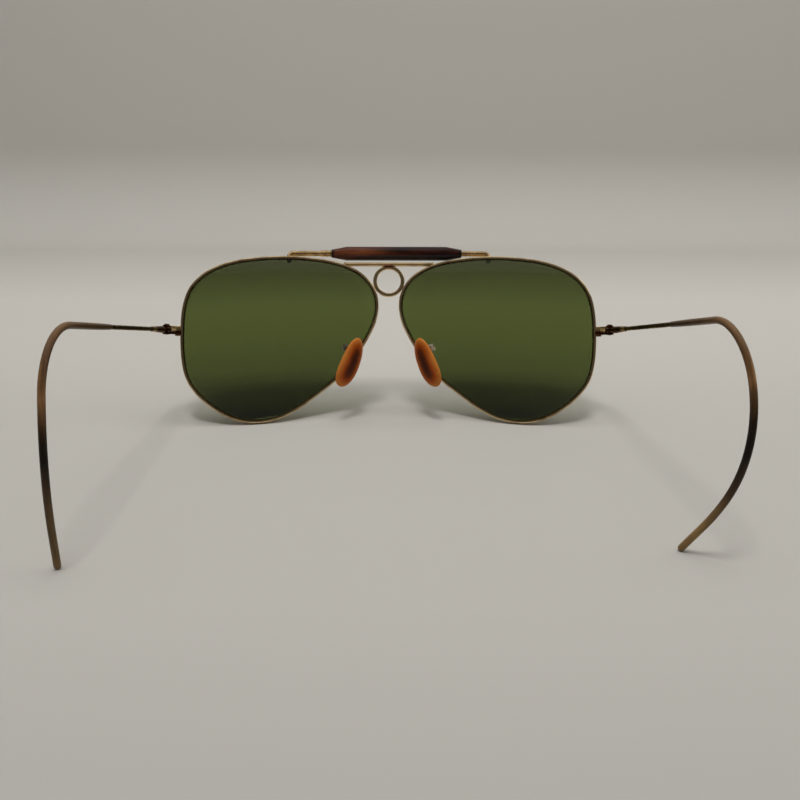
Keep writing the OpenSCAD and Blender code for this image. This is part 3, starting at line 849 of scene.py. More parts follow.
@dataclass(frozen=True)
class Tortoise(Finish):
    """Mottled cellulose plastic, polished. The mottle follows the piece.

    Each end has its own tones, pale, mid and dark, and they give way to each
    other over a stretch of the piece, in millimetres along it. The painted light levels
    darken or brighten it at distances from its zero, both ways: painted highlight,
    painted shade and darker bands.
    """

    start: Tones
    end: Tones
    change: tuple[float, float]
    coat: float
    gloss: float
    painted_light_levels: Levels
    stretch: float = 0.12
    mottle: float = 0.5
    mottle_detail: float = 4.0
    swirl: float = 0.7
    tones_at: tuple[float, ...] = (0.36, 0.5, 0.7)
    fleck: float = 5.0
    fleck_detail: float = 3.0
    fleck_stops: Stops = ((0.3, (0.6, 0.6, 0.6)), (0.62, WHITE))
    fleck_share: float = 0.6
    rough: float = 0.3
    coat_rough: float = 0.08
    ripple_scale: float = 900.0
    ripple_height: float = 0.00001
    ripple_strength: float = 0.3

    def shade(self, nodes: Nodes) -> None:
        """Gives the plastic its mottle, its bands and its polish.

        Args:
            nodes: The new material's nodes.
        """
        nodes.set(Roughness=self.rough, Specular_IOR_Level=self.gloss)
        nodes.set(Coat_Weight=self.coat, Coat_Roughness=self.coat_rough)
        along = nodes.axis(nodes.coordinates(skin=True), "X")
        mottled = self.mottled(nodes, nodes.span(along, *self.change))
        # Painted light along the piece: highlights where the levels pass 1, shade where they fall
        # low.
        reach = self.painted_light_levels[-1][0]
        stops = [(at / reach, (level, level, level)) for at, level in self.painted_light_levels]
        painted_light_bands = nodes.ramp(nodes.span(nodes.away(along), 0.0, reach), stops)
        nodes.link(nodes.multiply(mottled, painted_light_bands), nodes.shader.inputs["Base Color"])
        ripple = nodes.noise(nodes.coordinates(), self.ripple_scale, FINE_DETAIL)
        nodes.bump(ripple, self.ripple_height, self.ripple_strength)

    def mottled(self, nodes: Nodes, share: Socket) -> Socket:
        """Swirled tones with small dark flecks.

        Args:
            nodes: The new material's nodes.
            share: Share of the tones of the piece's end.

        Returns:
            The socket that gives the colour.
        """
        where = nodes.coordinates((self.stretch, 1, 1), skin=True)
        swirl = nodes.add("ShaderNodeTexNoise")
        swirl.inputs["Scale"].default_value = self.mottle * self.swirl
        warped = nodes.add("ShaderNodeVectorMath", operation="ADD")
        nodes.link(where, swirl.inputs["Vector"])
        nodes.link(where, warped.inputs[0])
        nodes.link(swirl.outputs["Color"], warped.inputs[1])
        cloud = nodes.noise(warped.outputs["Vector"], self.mottle, self.mottle_detail)
        first, second = (
            nodes.ramp(cloud, list(zip(self.tones_at, reversed(tones))))
            for tones in (self.start, self.end)
        )
        fleck = nodes.noise(where, self.mottle * self.fleck, self.fleck_detail)
        shade = nodes.ramp(fleck, self.fleck_stops)
        return nodes.multiply(nodes.mix(share, first, second), shade, self.fleck_share)


@dataclass(frozen=True)
class Amber(Finish):
    """Clouded amber plastic, dark where it is thick, that lets light in."""

    edge: Colour
    body: Colour
    heart: Colour
    core: Colour
    tones_at: tuple[float, ...] = (0.22, 0.42, 0.66, 1.0)
    wander: float = 0.2
    cloud_scale: float = 700.0
    cloud_detail: float = 4.0
    rough: float = 0.34
    gloss: float = 0.06
    coat: float = 0.06
    coat_rough: float = 0.2
    depth: float = 0.0006
    depth_share: float = 0.3
    depth_tones: Colour = (1.0, 0.35, 0.12)
    ripple_scale: float = 1500.0
    ripple_height: float = 0.00002
    ripple_strength: float = 0.25

    def shade(self, nodes: Nodes) -> None:
        """Gives the plastic its dark heart, its clouds and its depth.

        Args:
            nodes: The new material's nodes.
        """
        nodes.set(Roughness=self.rough, Specular_IOR_Level=self.gloss)
        nodes.set(Coat_Weight=self.coat, Coat_Roughness=self.coat_rough)
        nodes.set(Subsurface_Weight=self.depth_share, Subsurface_Scale=self.depth)
        nodes.set(Subsurface_Radius=self.depth_tones)
        from_core = nodes.axis(nodes.coordinates(skin=True), "X")
        cloud = nodes.noise(nodes.coordinates(), self.cloud_scale, self.cloud_detail)
        wander = nodes.add("ShaderNodeMath", operation="MULTIPLY_ADD")
        wander.inputs[1].default_value = self.wander
        nodes.link(cloud, wander.inputs[0])
        nodes.link(from_core, wander.inputs[2])
        tones = (self.core, self.heart, self.body, self.edge)
        colour = nodes.ramp(wander.outputs[0], list(zip(self.tones_at, tones)))
        nodes.link(colour, nodes.shader.inputs["Base Color"])
        ripple = nodes.noise(nodes.coordinates(), self.ripple_scale, FINE_DETAIL)
        nodes.bump(ripple, self.ripple_height, self.ripple_strength)


GOLD = Metal("frame_gold", bright=(0.70, 0.48, 0.23), dull=(0.26, 0.15, 0.06))
# Painted shade: the rod's feet and their solder go near black at their lower ends, in front of the
# lens.
ROD_PAINTED_SHADE = replace(GOLD, look="rod", wear=(Wear("Z", 0.0064, 0.0056),), worn=(0.03, 0.03, 0.03))
# Painted shade: the rim darkens along its lens side, where it meets the glass.
RIM_PAINTED_SHADE = replace(
    GOLD, look="rim", bright=(0.74, 0.56, 0.32), wear=(Wear("X", 0.42, 0.22, skin=True),)
)
# The ring's darker tone falls on its solder saddle alone: the solder's own colour.
RING = Metal(
    "frame_gold",
    look="ring",
    bright=(0.80, 0.60, 0.33),
    dull=(0.38, 0.25, 0.12),
    wear=(Wear("Z", 9.0, 11.0, skin=True),),
    worn=(0.26, 0.15, 0.13),
)
# Painted shade: the hinge darkens below the rim's slit; it is also darker at its outer knuckle.
HINGE_GOLD_PAINTED_SHADE = Metal(
    "hinge_gold",
    bright=(0.95, 0.70, 0.32),
    dull=(0.36, 0.19, 0.07),
    cloud_scale=420.0,
    wear=(Wear("Z", 0.0133, 0.0139), Wear("X", 0.0687, 0.0692)),
    worn=(0.12, 0.05, 0.04),
)
# Painted shade and highlight: the root is dark up to about 12 mm along it; its end stays bright as
# a highlight.
ROOT_PAINTED_LIGHT = Metal(
    "hinge_gold",
    look="root",
    bright=(0.64, 0.46, 0.26),
    dull=(0.30, 0.18, 0.09),
    wear=(Wear("X", 13.2, 11.4, skin=True),),
    worn=(0.13, 0.085, 0.05),
    graze=0.55,
)
# Painted shade: the gold wire gets a near-black colour for the dark reflections on it.
WIRE = Metal(
    "wire_gold", bright=(0.15, 0.12, 0.060), dull=(0.06, 0.045, 0.020), rough=0.25, graze=0.5
)
SCREW = Metal(
    "screw_metal",
    bright=(0.32, 0.24, 0.14),
    dull=(0.07, 0.045, 0.025),
    tarnish=0.45,
    cloud_scale=900.0,
)
CABLE = Metal("cable_steel", bright=(0.40, 0.38, 0.34), dull=(0.18, 0.16, 0.13), rough=0.35)
FITTING = Metal(
    "pad_fitting",
    bright=(0.42, 0.38, 0.30),
    dull=(0.06, 0.045, 0.03),
    tarnish=0.5,
    rough=0.28,
    cloud_scale=1200.0,
)
LUG = Metal("lug_dark", bright=(0.09, 0.06, 0.05), dull=(0.03, 0.02, 0.015), rough=0.35)
LENS = LensGlass(
    "lens_green",
    span_low=-0.0396,
    span_top=0.0066,
    # Painted shadow: the stops up to 0.25 darken the glass's bottom for the shadow on the floor
    # behind it.
    tints_with_painted_shadow=(
        (0.0, (0.040, 0.050, 0.016)), (0.15, (0.058, 0.070, 0.023)), (0.25, (0.098, 0.123, 0.038)),
        (0.46, (0.125, 0.160, 0.045)), (0.67, (0.141, 0.180, 0.055)), (1.0, (0.088, 0.103, 0.044)),
    ),
)
SLEEVE = Tortoise(
    "sleeve_tortoise",
    start=((0.18, 0.052, 0.018), (0.085, 0.019, 0.006), (0.018, 0.005, 0.003)),
    end=((0.060, 0.010, 0.005), (0.020, 0.004, 0.002), (0.005, 0.002, 0.002)),
    change=(-8.0, 1.0),
    coat=0.12,
    gloss=0.2,
    # Painted shade: the sleeve darkens over its last millimetre at each recessed end.
    painted_light_levels=((0.0, 1.0), (20.2, 1.0), (20.6, 0.12), (21.3, 0.12)),
)
LEFT_SHEATH = Tortoise(
    "sheath_brown",
    look="left",
    start=((0.31, 0.170, 0.078), (0.17, 0.088, 0.038), (0.085, 0.040, 0.016)),
    end=((0.45, 0.290, 0.115), (0.30, 0.185, 0.068), (0.15, 0.090, 0.032)),
    change=(70.0, 88.0),
    stretch=0.09,
    coat=0.04,
    gloss=0.16,
    # Painted highlight: the levels peak at 1.6 near 50 mm; from about 57 to 71 mm they make a dark
    # band.
    painted_light_levels=(
        (0.0, 0.45), (40.0, 0.70), (44.0, 1.0), (48.0, 1.15), (50.5, 1.6), (54.0, 0.7),
        (57.0, 0.24), (60.0, 0.06), (64.0, 0.025), (71.0, 0.30), (79.0, 0.50), (88.0, 0.50),
        (91.5, 1.0),
    ),
)
RIGHT_SHEATH = replace(
    LEFT_SHEATH,
    look="right",
    # Painted highlight: the levels peak at 2.0 at 47 mm; from about 53 to 67 mm they make a dark
    # band.
    painted_light_levels=(
        (0.0, 0.45), (40.0, 0.85), (47.0, 2.0), (50.0, 0.75), (53.0, 0.36), (56.0, 0.10),
        (60.0, 0.03), (64.0, 0.03), (67.0, 0.16), (74.0, 0.23), (79.0, 0.65), (91.5, 1.2),
    ),
)
SHEATHS = {Side.LEFT: LEFT_SHEATH, Side.RIGHT: RIGHT_SHEATH}
AMBER = Amber(
    "pad_amber",
    edge=(0.58, 0.20, 0.036),
    body=(0.40, 0.072, 0.006),
    heart=(0.13, 0.026, 0.005),
    core=(0.066, 0.015, 0.005),
)


# Frame's own pieces


def dress(node: str, finish: Finish) -> None:
    """Gives a piece of the frame a finish, with its own shape.

    Args:
        node: Name of the node.
        finish: What it is finished in.
    """
    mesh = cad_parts[node].data
    mesh.materials.clear()
    mesh.materials.append(finish.material)
    LOG.info("%s: its own shape, finish %s", node, finish.slot)


def floor_height() -> float:
    """Height of the floor under the standing sunglasses, in metres."""
    return min(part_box(node)[0].z for node in ("left_rim", "right_rim"))


# Front


@dataclass
class Front:
    """The outline and the frame that every piece of the front shares. Sizes in millimetres."""

    lens_w: float = 62.0
    lens_h: float = 52.8
    lens_gap: float = 9.0
    ball_r: float = 88.0
    wrap: float = 4.5
    lean: float = 20.0
    bridge_drop: float = 2.68
    bridge_d: float = 1.2
    ring_bore_d: float = 7.7
    ring_wall: float = 1.25
    braze: float = 0.25
    rim_depth: float = 1.9
    rim_wall: float = 0.78
    rim_lip: float = 0.38
    coarse: int = 7
    fine: int = 14
    teardrop: Sequence[tuple[float, float]] = (
        (1.00, 0.10), (0.90, 0.62), (0.54, 0.91), (-0.08, 1.00), (-0.66, 0.90), (-0.95, 0.64),
        (-0.98, 0.25), (-0.74, -0.26), (-0.50, -0.55), (0.02, -0.95), (0.50, -0.95), (0.92, -0.54),
    )
    line: list[Vector] = field(init=False)
    out: list[Vector] = field(init=False)
    rim_top: float = field(init=False)
    bridge_z: float = field(init=False)
    ring_mid: Vector = field(init=False)

    def __post_init__(self) -> None:
        """Works out the bevel line of the lens and the middle of the bridge ring."""
        raw = self.raw(self.coarse)
        low = Vector([min(point[axis] for point in raw) for axis in range(3)])
        high = Vector([max(point[axis] for point in raw) for axis in range(3)])
        middle, size = (low + high) / 2, high - low
        self.line = []
        for point in self.raw(self.fine):
            x = (point.x - middle.x) * self.lens_w / size.x
            z = (point.z - middle.z) * self.lens_h / size.z
            self.line.append(Vector((x, 0, z)))
        count = len(self.line)
        self.out = []
        for number in range(count):
            step = self.line[(number + 1) % count] - self.line[number - 1]
            self.out.append(Vector((step.z, 0, -step.x)).normalized())
        self.rim_top = max(point.z for point in self.line) + self.rim_wall
        self.bridge_z = self.rim_top - self.bridge_drop
        end = self.nose_side_at(self.bridge_z, self.rim_wall)
        ring_top = self.bridge_z - self.bridge_d / 2 + self.braze
        ring_z = ring_top - self.ring_bore_d / 2 - self.ring_wall
        self.ring_mid = Vector((0, end.y, ring_z))

    def raw(self, steps: int) -> list[Vector]:
        """Outline before it is sized.

        Args:
            steps: Steps from each of its points to the next.

        Returns:
            The outline's points.
        """
        points = [Vector((x, 0, z)) for x, z in self.teardrop]
        count = len(points)
        return [
            curve_at(
                points[number - 1],
                points[number],
                points[(number + 1) % count],
                points[(number + 2) % count],
                step / steps,
            )
            for number in range(count)
            for step in range(steps)
        ]

    def sag(self, point: Vector) -> float:
        """Drop of the lens ball behind its foremost point."""
        return self.ball_r - math.sqrt(self.ball_r**2 - point.x**2 - point.z**2)

    def beside(self, number: int, out: float, fore: float) -> Vector:
        """Point beside the bevel line, so far out of it and so far in front of it."""
        point = self.line[number]
        return Vector((0, fore - self.sag(point), 0)) + point + self.out[number] * out

    @property
    def from_lens(self) -> Matrix:
        """From the right lens to the front."""
        shift = Vector(((self.lens_w + self.lens_gap) / 2, 0, 0))
        return Matrix.Translation(shift) @ turned(-self.wrap, "Z")

    @property
    def standing(self) -> Matrix:
        """From the front, in millimetres, to the standing frame, in metres."""
        return Matrix.Scale(MM, 4) @ turned(-self.lean, "X") @ Matrix.Translation(-self.ring_mid)

    def on(self, side: Side) -> Matrix:
        """From the right half of the front to one side of the standing frame."""
        return self.standing @ side.mirror

    def nose_side_at(self, height: float, out: float) -> Vector:
        """Point at which the nose side of the rim passes a height of the front.

        Args:
            height: The height.
            out: How far out of the bevel line the point lies.

        Returns:
            The point.
        """
        points = [self.from_lens @ self.beside(n, out, 0) for n in range(len(self.line))]
        for before, after in zip(points, points[1:]):
            crosses = (before.z - height) * (after.z - height) <= 0
            if before.x < (self.lens_w + self.lens_gap) / 2 and crosses:
                return before.lerp(after, (height - before.z) / (after.z - before.z))
        raise ValueError(f"no point of the rim at height {height}")

    @property
    def slit(self) -> Vector:
        """Bevel line at the rim's slit."""
        return self.from_lens @ self.beside(0, 0, 0)


@dataclass
class Eye:
    """One rim with its lens."""

    front: Front
    side: Side
    rim_slit: float = 0.05
    rim_round: float = 0.42
    lip_round: float = 0.16
    groove_round: float = 0.05
    groove_floor: float = 0.12
    groove_share: float = 0.9
    groove_gap: float = 0.03
    bevel_h: float = 0.5
    bevel_share: float = 0.8
    bevel_flat: float = 0.07
    glass_t: float = 2.0
    shares: Sequence[float] = (0.0, 0.03, 0.1, 0.2, 0.32, 0.44, 0.56, 0.68, 0.79, 0.88, 0.95)

    def build(self) -> None:
        """Builds the rim and the lens."""
        place = self.front.on(self.side) @ self.front.from_lens
        word, body = self.side.word, Body.FRONT.on(self.side)
        self.rim().place(f"{word}_eye_wire", RIM_PAINTED_SHADE, place, body, [f"{word}_rim"])
        self.lens().place(f"{word}_lens_glass", LENS, place, body, [f"{word}_lens"], sharp=25)

    def section(self) -> list[Vector]:
        """Section of the rim: a half-round wire with a groove for the bevel.

        Returns:
            The section's points.
        """
        deep, lip, wall = self.front.rim_depth / 2, -self.front.rim_lip, self.front.rim_wall
        groove, floor, gap = self.bevel_h * self.groove_share, self.groove_floor, self.groove_gap
        corners = [
            (lip, groove, self.groove_round), (gap, floor, self.groove_round),
            (gap, -floor, self.groove_round), (lip, -groove, self.groove_round),
            (lip, -deep, self.lip_round), (wall, -deep, self.rim_round),
            (wall, deep, self.rim_round), (lip, deep, self.lip_round),
        ]
        return rounded(corners, steps=4)

    def rim(self) -> Shape:
        """Sweeps the rim's section round the lens, from one side of its slit to the other.

        Returns:
            The rim.
        """
        front = self.front
        section = self.section()
        count = len(front.line)
        rings = [[front.beside(n, c.x, c.y) for c in section] for n in range(count)]
        half_slit = self.rim_slit / 2 / (front.line[1] - front.line[0]).length
        first = [a.lerp(b, half_slit) for a, b in zip(rings[0], rings[1])]
        last = [a.lerp(b, half_slit) for a, b in zip(rings[0], rings[-1])]
        skins = [[Vector((c.x + front.rim_lip, c.y, 0)) for c in section]] * (count + 1)
        shape = Shape()
        shape.loft([first, *rings[1:], last], skins)
        return shape

    def face_ring(self, share: float, out: float, face: int) -> list[Vector]:
        """Ring on a face of the glass.

        Args:
            share: Share of the way from the middle of the glass to its edge.
            out: How far out of that the ring lies.
            face: 1 for the front face and -1 for the back face.

        Returns:
            The ring's points.
        """
        ring = []
        for point, away in zip(self.front.line, self.front.out):
            spot = point * share + away * out
            ring.append(spot + Vector((0, face * self.glass_t / 2 - self.front.sag(spot), 0)))
        return ring

    def lens(self) -> Shape:
        """Draws the curved glass with the bevel round its edge.

        Returns:
            The lens.
        """
        front, shelf = self.front, -self.bevel_h - self.groove_gap
        foot = self.bevel_h * self.bevel_share
        bevel = ((shelf, foot), (0, self.bevel_flat), (0, -self.bevel_flat), (shelf, -foot))
        edge = [[front.beside(n, *spot) for n in range(len(front.line))] for spot in bevel]
        outer = [self.face_ring(share, 0, 1) for share in self.shares]
        inner = [self.face_ring(share, 0, -1) for share in reversed(self.shares)]
        rims = [self.face_ring(1, shelf, 1), *edge, self.face_ring(1, shelf, -1)]
        shape = Shape()
        shape.loft([*outer, *rims, *inner], poles=True)
        return shape


@dataclass
class Bridge:
    """The bar and the small ring between the rims, with their brazed joints."""

    front: Front
    ring_depth: float = 1.2
    ring_edge: float = 0.28
    flare: float = 0.12
    flare_len: float = 1.4
    flare_steps: int = 4
    saddle: Vector = field(default_factory=lambda: Vector((2.2, 0.9, 0.95)))
    saddle_drop: float = 0.1

    def build(self) -> None:
        """Builds the bar and the ring."""
        standing, body = self.front.standing, Body.FRONT.value
        self.bar().place("bridge_wire", GOLD, standing, body, ["bridge_bar"])
        self.ring().place("bridge_eyelet", RING, standing, body, ["bridge_ring"])

    def bar(self) -> Shape:
        """Draws the bar. It flares where it is brazed to the rims.

        Returns:
            The bar.
        """
        front = self.front
        end = front.nose_side_at(front.bridge_z, front.rim_wall)
        reach = end.x + front.braze
        profile = [Vector((0, -reach))]
        for step in range(self.flare_steps + 1):
            share = step / self.flare_steps
            radius = front.bridge_d / 2 + self.flare * (1 - share) ** 2
            profile.append(Vector((radius, -reach + self.flare_len * share)))
        profile += [Vector((point.x, -point.y)) for point in reversed(profile)]
        shape = Shape()
        middle = Matrix.Translation((0, end.y, front.bridge_z))
        shape.spin(profile, middle @ Z_TO_X, Turn.BAR)
        return shape

    def ring(self) -> Shape:
        """Draws the ring with the saddle that joins it to the bar.

        Returns:
            The ring.
        """
        front = self.front
        bore, outer = front.ring_bore_d / 2, front.ring_bore_d / 2 + front.ring_wall
        deep, edge = self.ring_depth / 2, self.ring_edge
        corners = [
            (bore, -deep, edge), (outer, -deep, edge), (outer, deep, edge), (bore, deep, edge)
        ]
        upright = Matrix.Translation(front.ring_mid) @ Z_TO_BACK
        shape = Shape()
        shape.spin(rounded(corners, steps=4), upright, Turn.RING, closed=True)
        low = front.bridge_z - front.bridge_d / 2 - self.saddle_drop
        shape.ball(self.saddle, Matrix.Translation((0, front.ring_mid.y, low)))
        return shape


@dataclass
class BrowBar:
    """The brow rod with its sleeve and collar. Sizes in millimetres.

    The solder's share says how far out of the bevel line it lies, in walls of the rim.
    """

    front: Front
    rod_d: float = 1.7
    span: float = 65.0
    rise: float = 1.1
    bend_r: float = 1.3
    bend_steps: int = 8
    foot_drop: float = 1.2
    foot_gap: float = 0.03
    glass_t: float = 2.0
    solder_r: float = 0.45
    solder_flare: float = 0.2
    solder_foot: float = 0.4
    solder_in: float = 0.3
    solder_share: float = 0.25
    sleeve_len: float = 42.5
    sleeve_d: float = 4.5
    sleeve_cone: float = 5.0
    sleeve_end_d: float = 2.6
    sleeve_shift: float = 2.5
    sleeve_round: float = 2.2
    sleeve_edge: float = 0.1
    sleeve_lip: float = 0.22
    sleeve_dent: float = 0.3
    collar_len: float = 3.5
    collar_d: float = 2.3
    collar_rings: int = 4
    collar_groove: float = 0.28
    bead_start: float = 0.17
    bead_share: float = 0.66
    bead_steps: int = 8
    sides: int = 24
    lean: float = field(init=False)
    reach: float = field(init=False)
    fore: float = field(init=False)
    middle: Vector = field(init=False)

    def __post_init__(self) -> None:
        """Works out where the rod runs and how its feet lean, from the rim behind them."""
        front = self.front
        rod_r = self.rod_d / 2
        points = [front.from_lens @ front.beside(n, 0, 0) for n in range(len(front.line))]
        x = self.span / 2
        for before, after in zip(points, points[1:]):
            if after.z > 0 and before.x >= x > after.x:
                rim = before.lerp(after, (x - before.x) / (after.x - before.x))
        self.lean = math.asin(rim.z / front.ball_r)
        sine, cosine = math.sin(self.lean), math.cos(self.lean)
        rod_z = front.rim_top + self.rise
        self.fore = max(front.rim_depth, self.glass_t) / 2 + self.foot_gap
        self.reach = (rod_z - rim.z - rod_r * sine) / cosine
        self.middle = Vector((0, rim.y + self.fore + rod_r * cosine - self.reach * sine, rod_z))

    def build(self) -> None:
        """Builds the rod, the sleeve and the collar."""
        standing, body = self.front.standing, Body.FRONT.value
        self.rod().place("brow_wire", ROD_PAINTED_SHADE, standing, body, ["brow_rod"])
        self.sleeve().place("brow_grip", SLEEVE, standing, body, ["brow_sleeve"], sharp=60)
        self.collar().place("brow_ferrule", GOLD, standing, body, ["brow_collar"], sharp=50)

    def foot(self, side: Side) -> list[Station]:
        """Path of one foot, from the rod to its round end.

        Args:
            side: Side of the foot.

        Returns:
            The path's stations. The bend ends at the last but one.
        """
        length = self.reach + self.front.rim_lip + self.foot_drop - self.rod_d / 2
        down = Vector((0, -math.sin(self.lean), -math.cos(self.lean)))
        start = Vector((side.value * (self.span / 2 - self.bend_r), 0, 0)) + self.middle
        station = Station(start, Vector((side.value, 0, 0)), down)
        steps = range(self.bend_steps + 1)
        path = [station.bend(self.bend_r, 90 * step / self.bend_steps) for step in steps]
        return [*path, path[-1].go(length - self.bend_r)]

    def rod(self) -> Shape:
        """Sweeps the rod with both feet, and adds the pads of solder on the rims.

        Returns:
            The rod.
        """
        r = self.rod_d / 2
        left, right = self.foot(Side.LEFT), self.foot(Side.RIGHT)
        back = [Station(s.place, -s.way, s.across) for s in reversed(left)]
        path = [
            *[back[0].go(-ahead) for ahead, _ in reversed(dome(r))],
            *back,
            *right,
            *[right[-1].go(ahead) for ahead, _ in dome(r)],
        ]
        sizes = [size for _, size in dome(r)]
        radii = [*reversed(sizes), *[r] * (len(back) + len(right)), *sizes]
        shape = Shape()
        shape.sweep(path, [circle(size, self.sides) for size in radii], poles=True)
        for bend in (left[-2], right[-2]):
            self.solder(shape, bend)
        return shape

    def solder(self, shape: Shape, bend: Station) -> None:
        """Adds the pad of solder between a foot and the rim behind it.

        Args:
            shape: The rod.
            bend: End of the foot's bend.
        """
        down = self.reach - self.front.rim_wall * self.solder_share - self.bend_r
        turn = Matrix.Translation(bend.go(down).place) @ Matrix.Rotation(self.lean, 4, "X")
        long = self.rod_d / 2 + self.fore - self.front.rim_depth / 2 + self.front.braze
        profile = [
            Vector((0, self.solder_in)),
            Vector((self.solder_r, self.solder_in)),
            Vector((self.solder_r, long - self.solder_foot)),
            Vector((self.solder_r + self.solder_flare, long)),
            Vector((0, long)),
        ]
        shape.spin(profile, turn @ Z_TO_BACK, Turn.SOLDER)

    def sleeve(self) -> Shape:
        """Turns the sleeve, with softened edges and a small recess at each end.

        Returns:
            The sleeve.
        """
        half = self.sleeve_len / 2
        rod, end, r = self.rod_d / 2, self.sleeve_end_d / 2, self.sleeve_d / 2
        lip, edge = end - self.sleeve_lip, self.sleeve_edge
        dent, cone = half - self.sleeve_dent, half - self.sleeve_cone
        corners = [
            (rod, -dent, 0), (lip, -half, edge), (end, -half, edge),
            (r, -cone, self.sleeve_round), (r, cone, self.sleeve_round),
            (end, half, edge), (lip, half, edge), (rod, dent, 0),
        ]
        middle = Matrix.Translation(self.middle + Vector((self.sleeve_shift, 0, 0)))
        shape = Shape()
        profile = rounded(corners, steps=6, closed=False)
        shape.spin(profile, middle @ Z_TO_X, Turn.SLEEVE, closed=True)
        return shape

    def collar(self) -> Shape:
        """Turns the collar, with a rounded bead for each ring.

        Returns:
            The collar.
        """
        bead = self.collar_len / self.collar_rings
        rod, top = self.rod_d / 2, self.collar_d / 2
        neck = top - self.collar_groove
        profile = [Vector((rod, 0)), Vector((neck, 0))]
        for number in range(self.collar_rings):
            for step in range(self.bead_steps + 1):
                share = step / self.bead_steps
                swell = math.sqrt(math.sin(math.pi * share))
                low = bead * (number + self.bead_start + self.bead_share * share)
                profile.append(Vector((neck + (top - neck) * swell, low)))
        profile += [Vector((neck, self.collar_len)), Vector((rod, self.collar_len))]
        start = Vector((self.sleeve_shift - self.sleeve_len / 2 - self.collar_len, 0, 0))
        place = Matrix.Translation(self.middle + start) @ Z_TO_X
        shape = Shape()
        shape.spin(profile, place, Turn.COLLAR, closed=True)
        return shape


# Hinges


@dataclass(frozen=True)
class Knuckles:
    """Sizes that a temple and its hinge share, in millimetres."""

    out: float = 4.4
    back: float = 3.2
    across: float = 2.5
    middle_h: float = 1.1
    outer_h: float = 0.8
    side_gap: float = 0.1
    pin_gap: float = 0.05
    screw_d: float = 0.9

    @property
    def bore(self) -> float:
        """Radius of the hole for the screw."""
        return self.screw_d / 2 + self.pin_gap

    def axis(self, front: Front) -> Vector:
        """Middle of the hinge, in the right half of the front."""
        return front.slit + Vector((self.out, -self.back, 0))


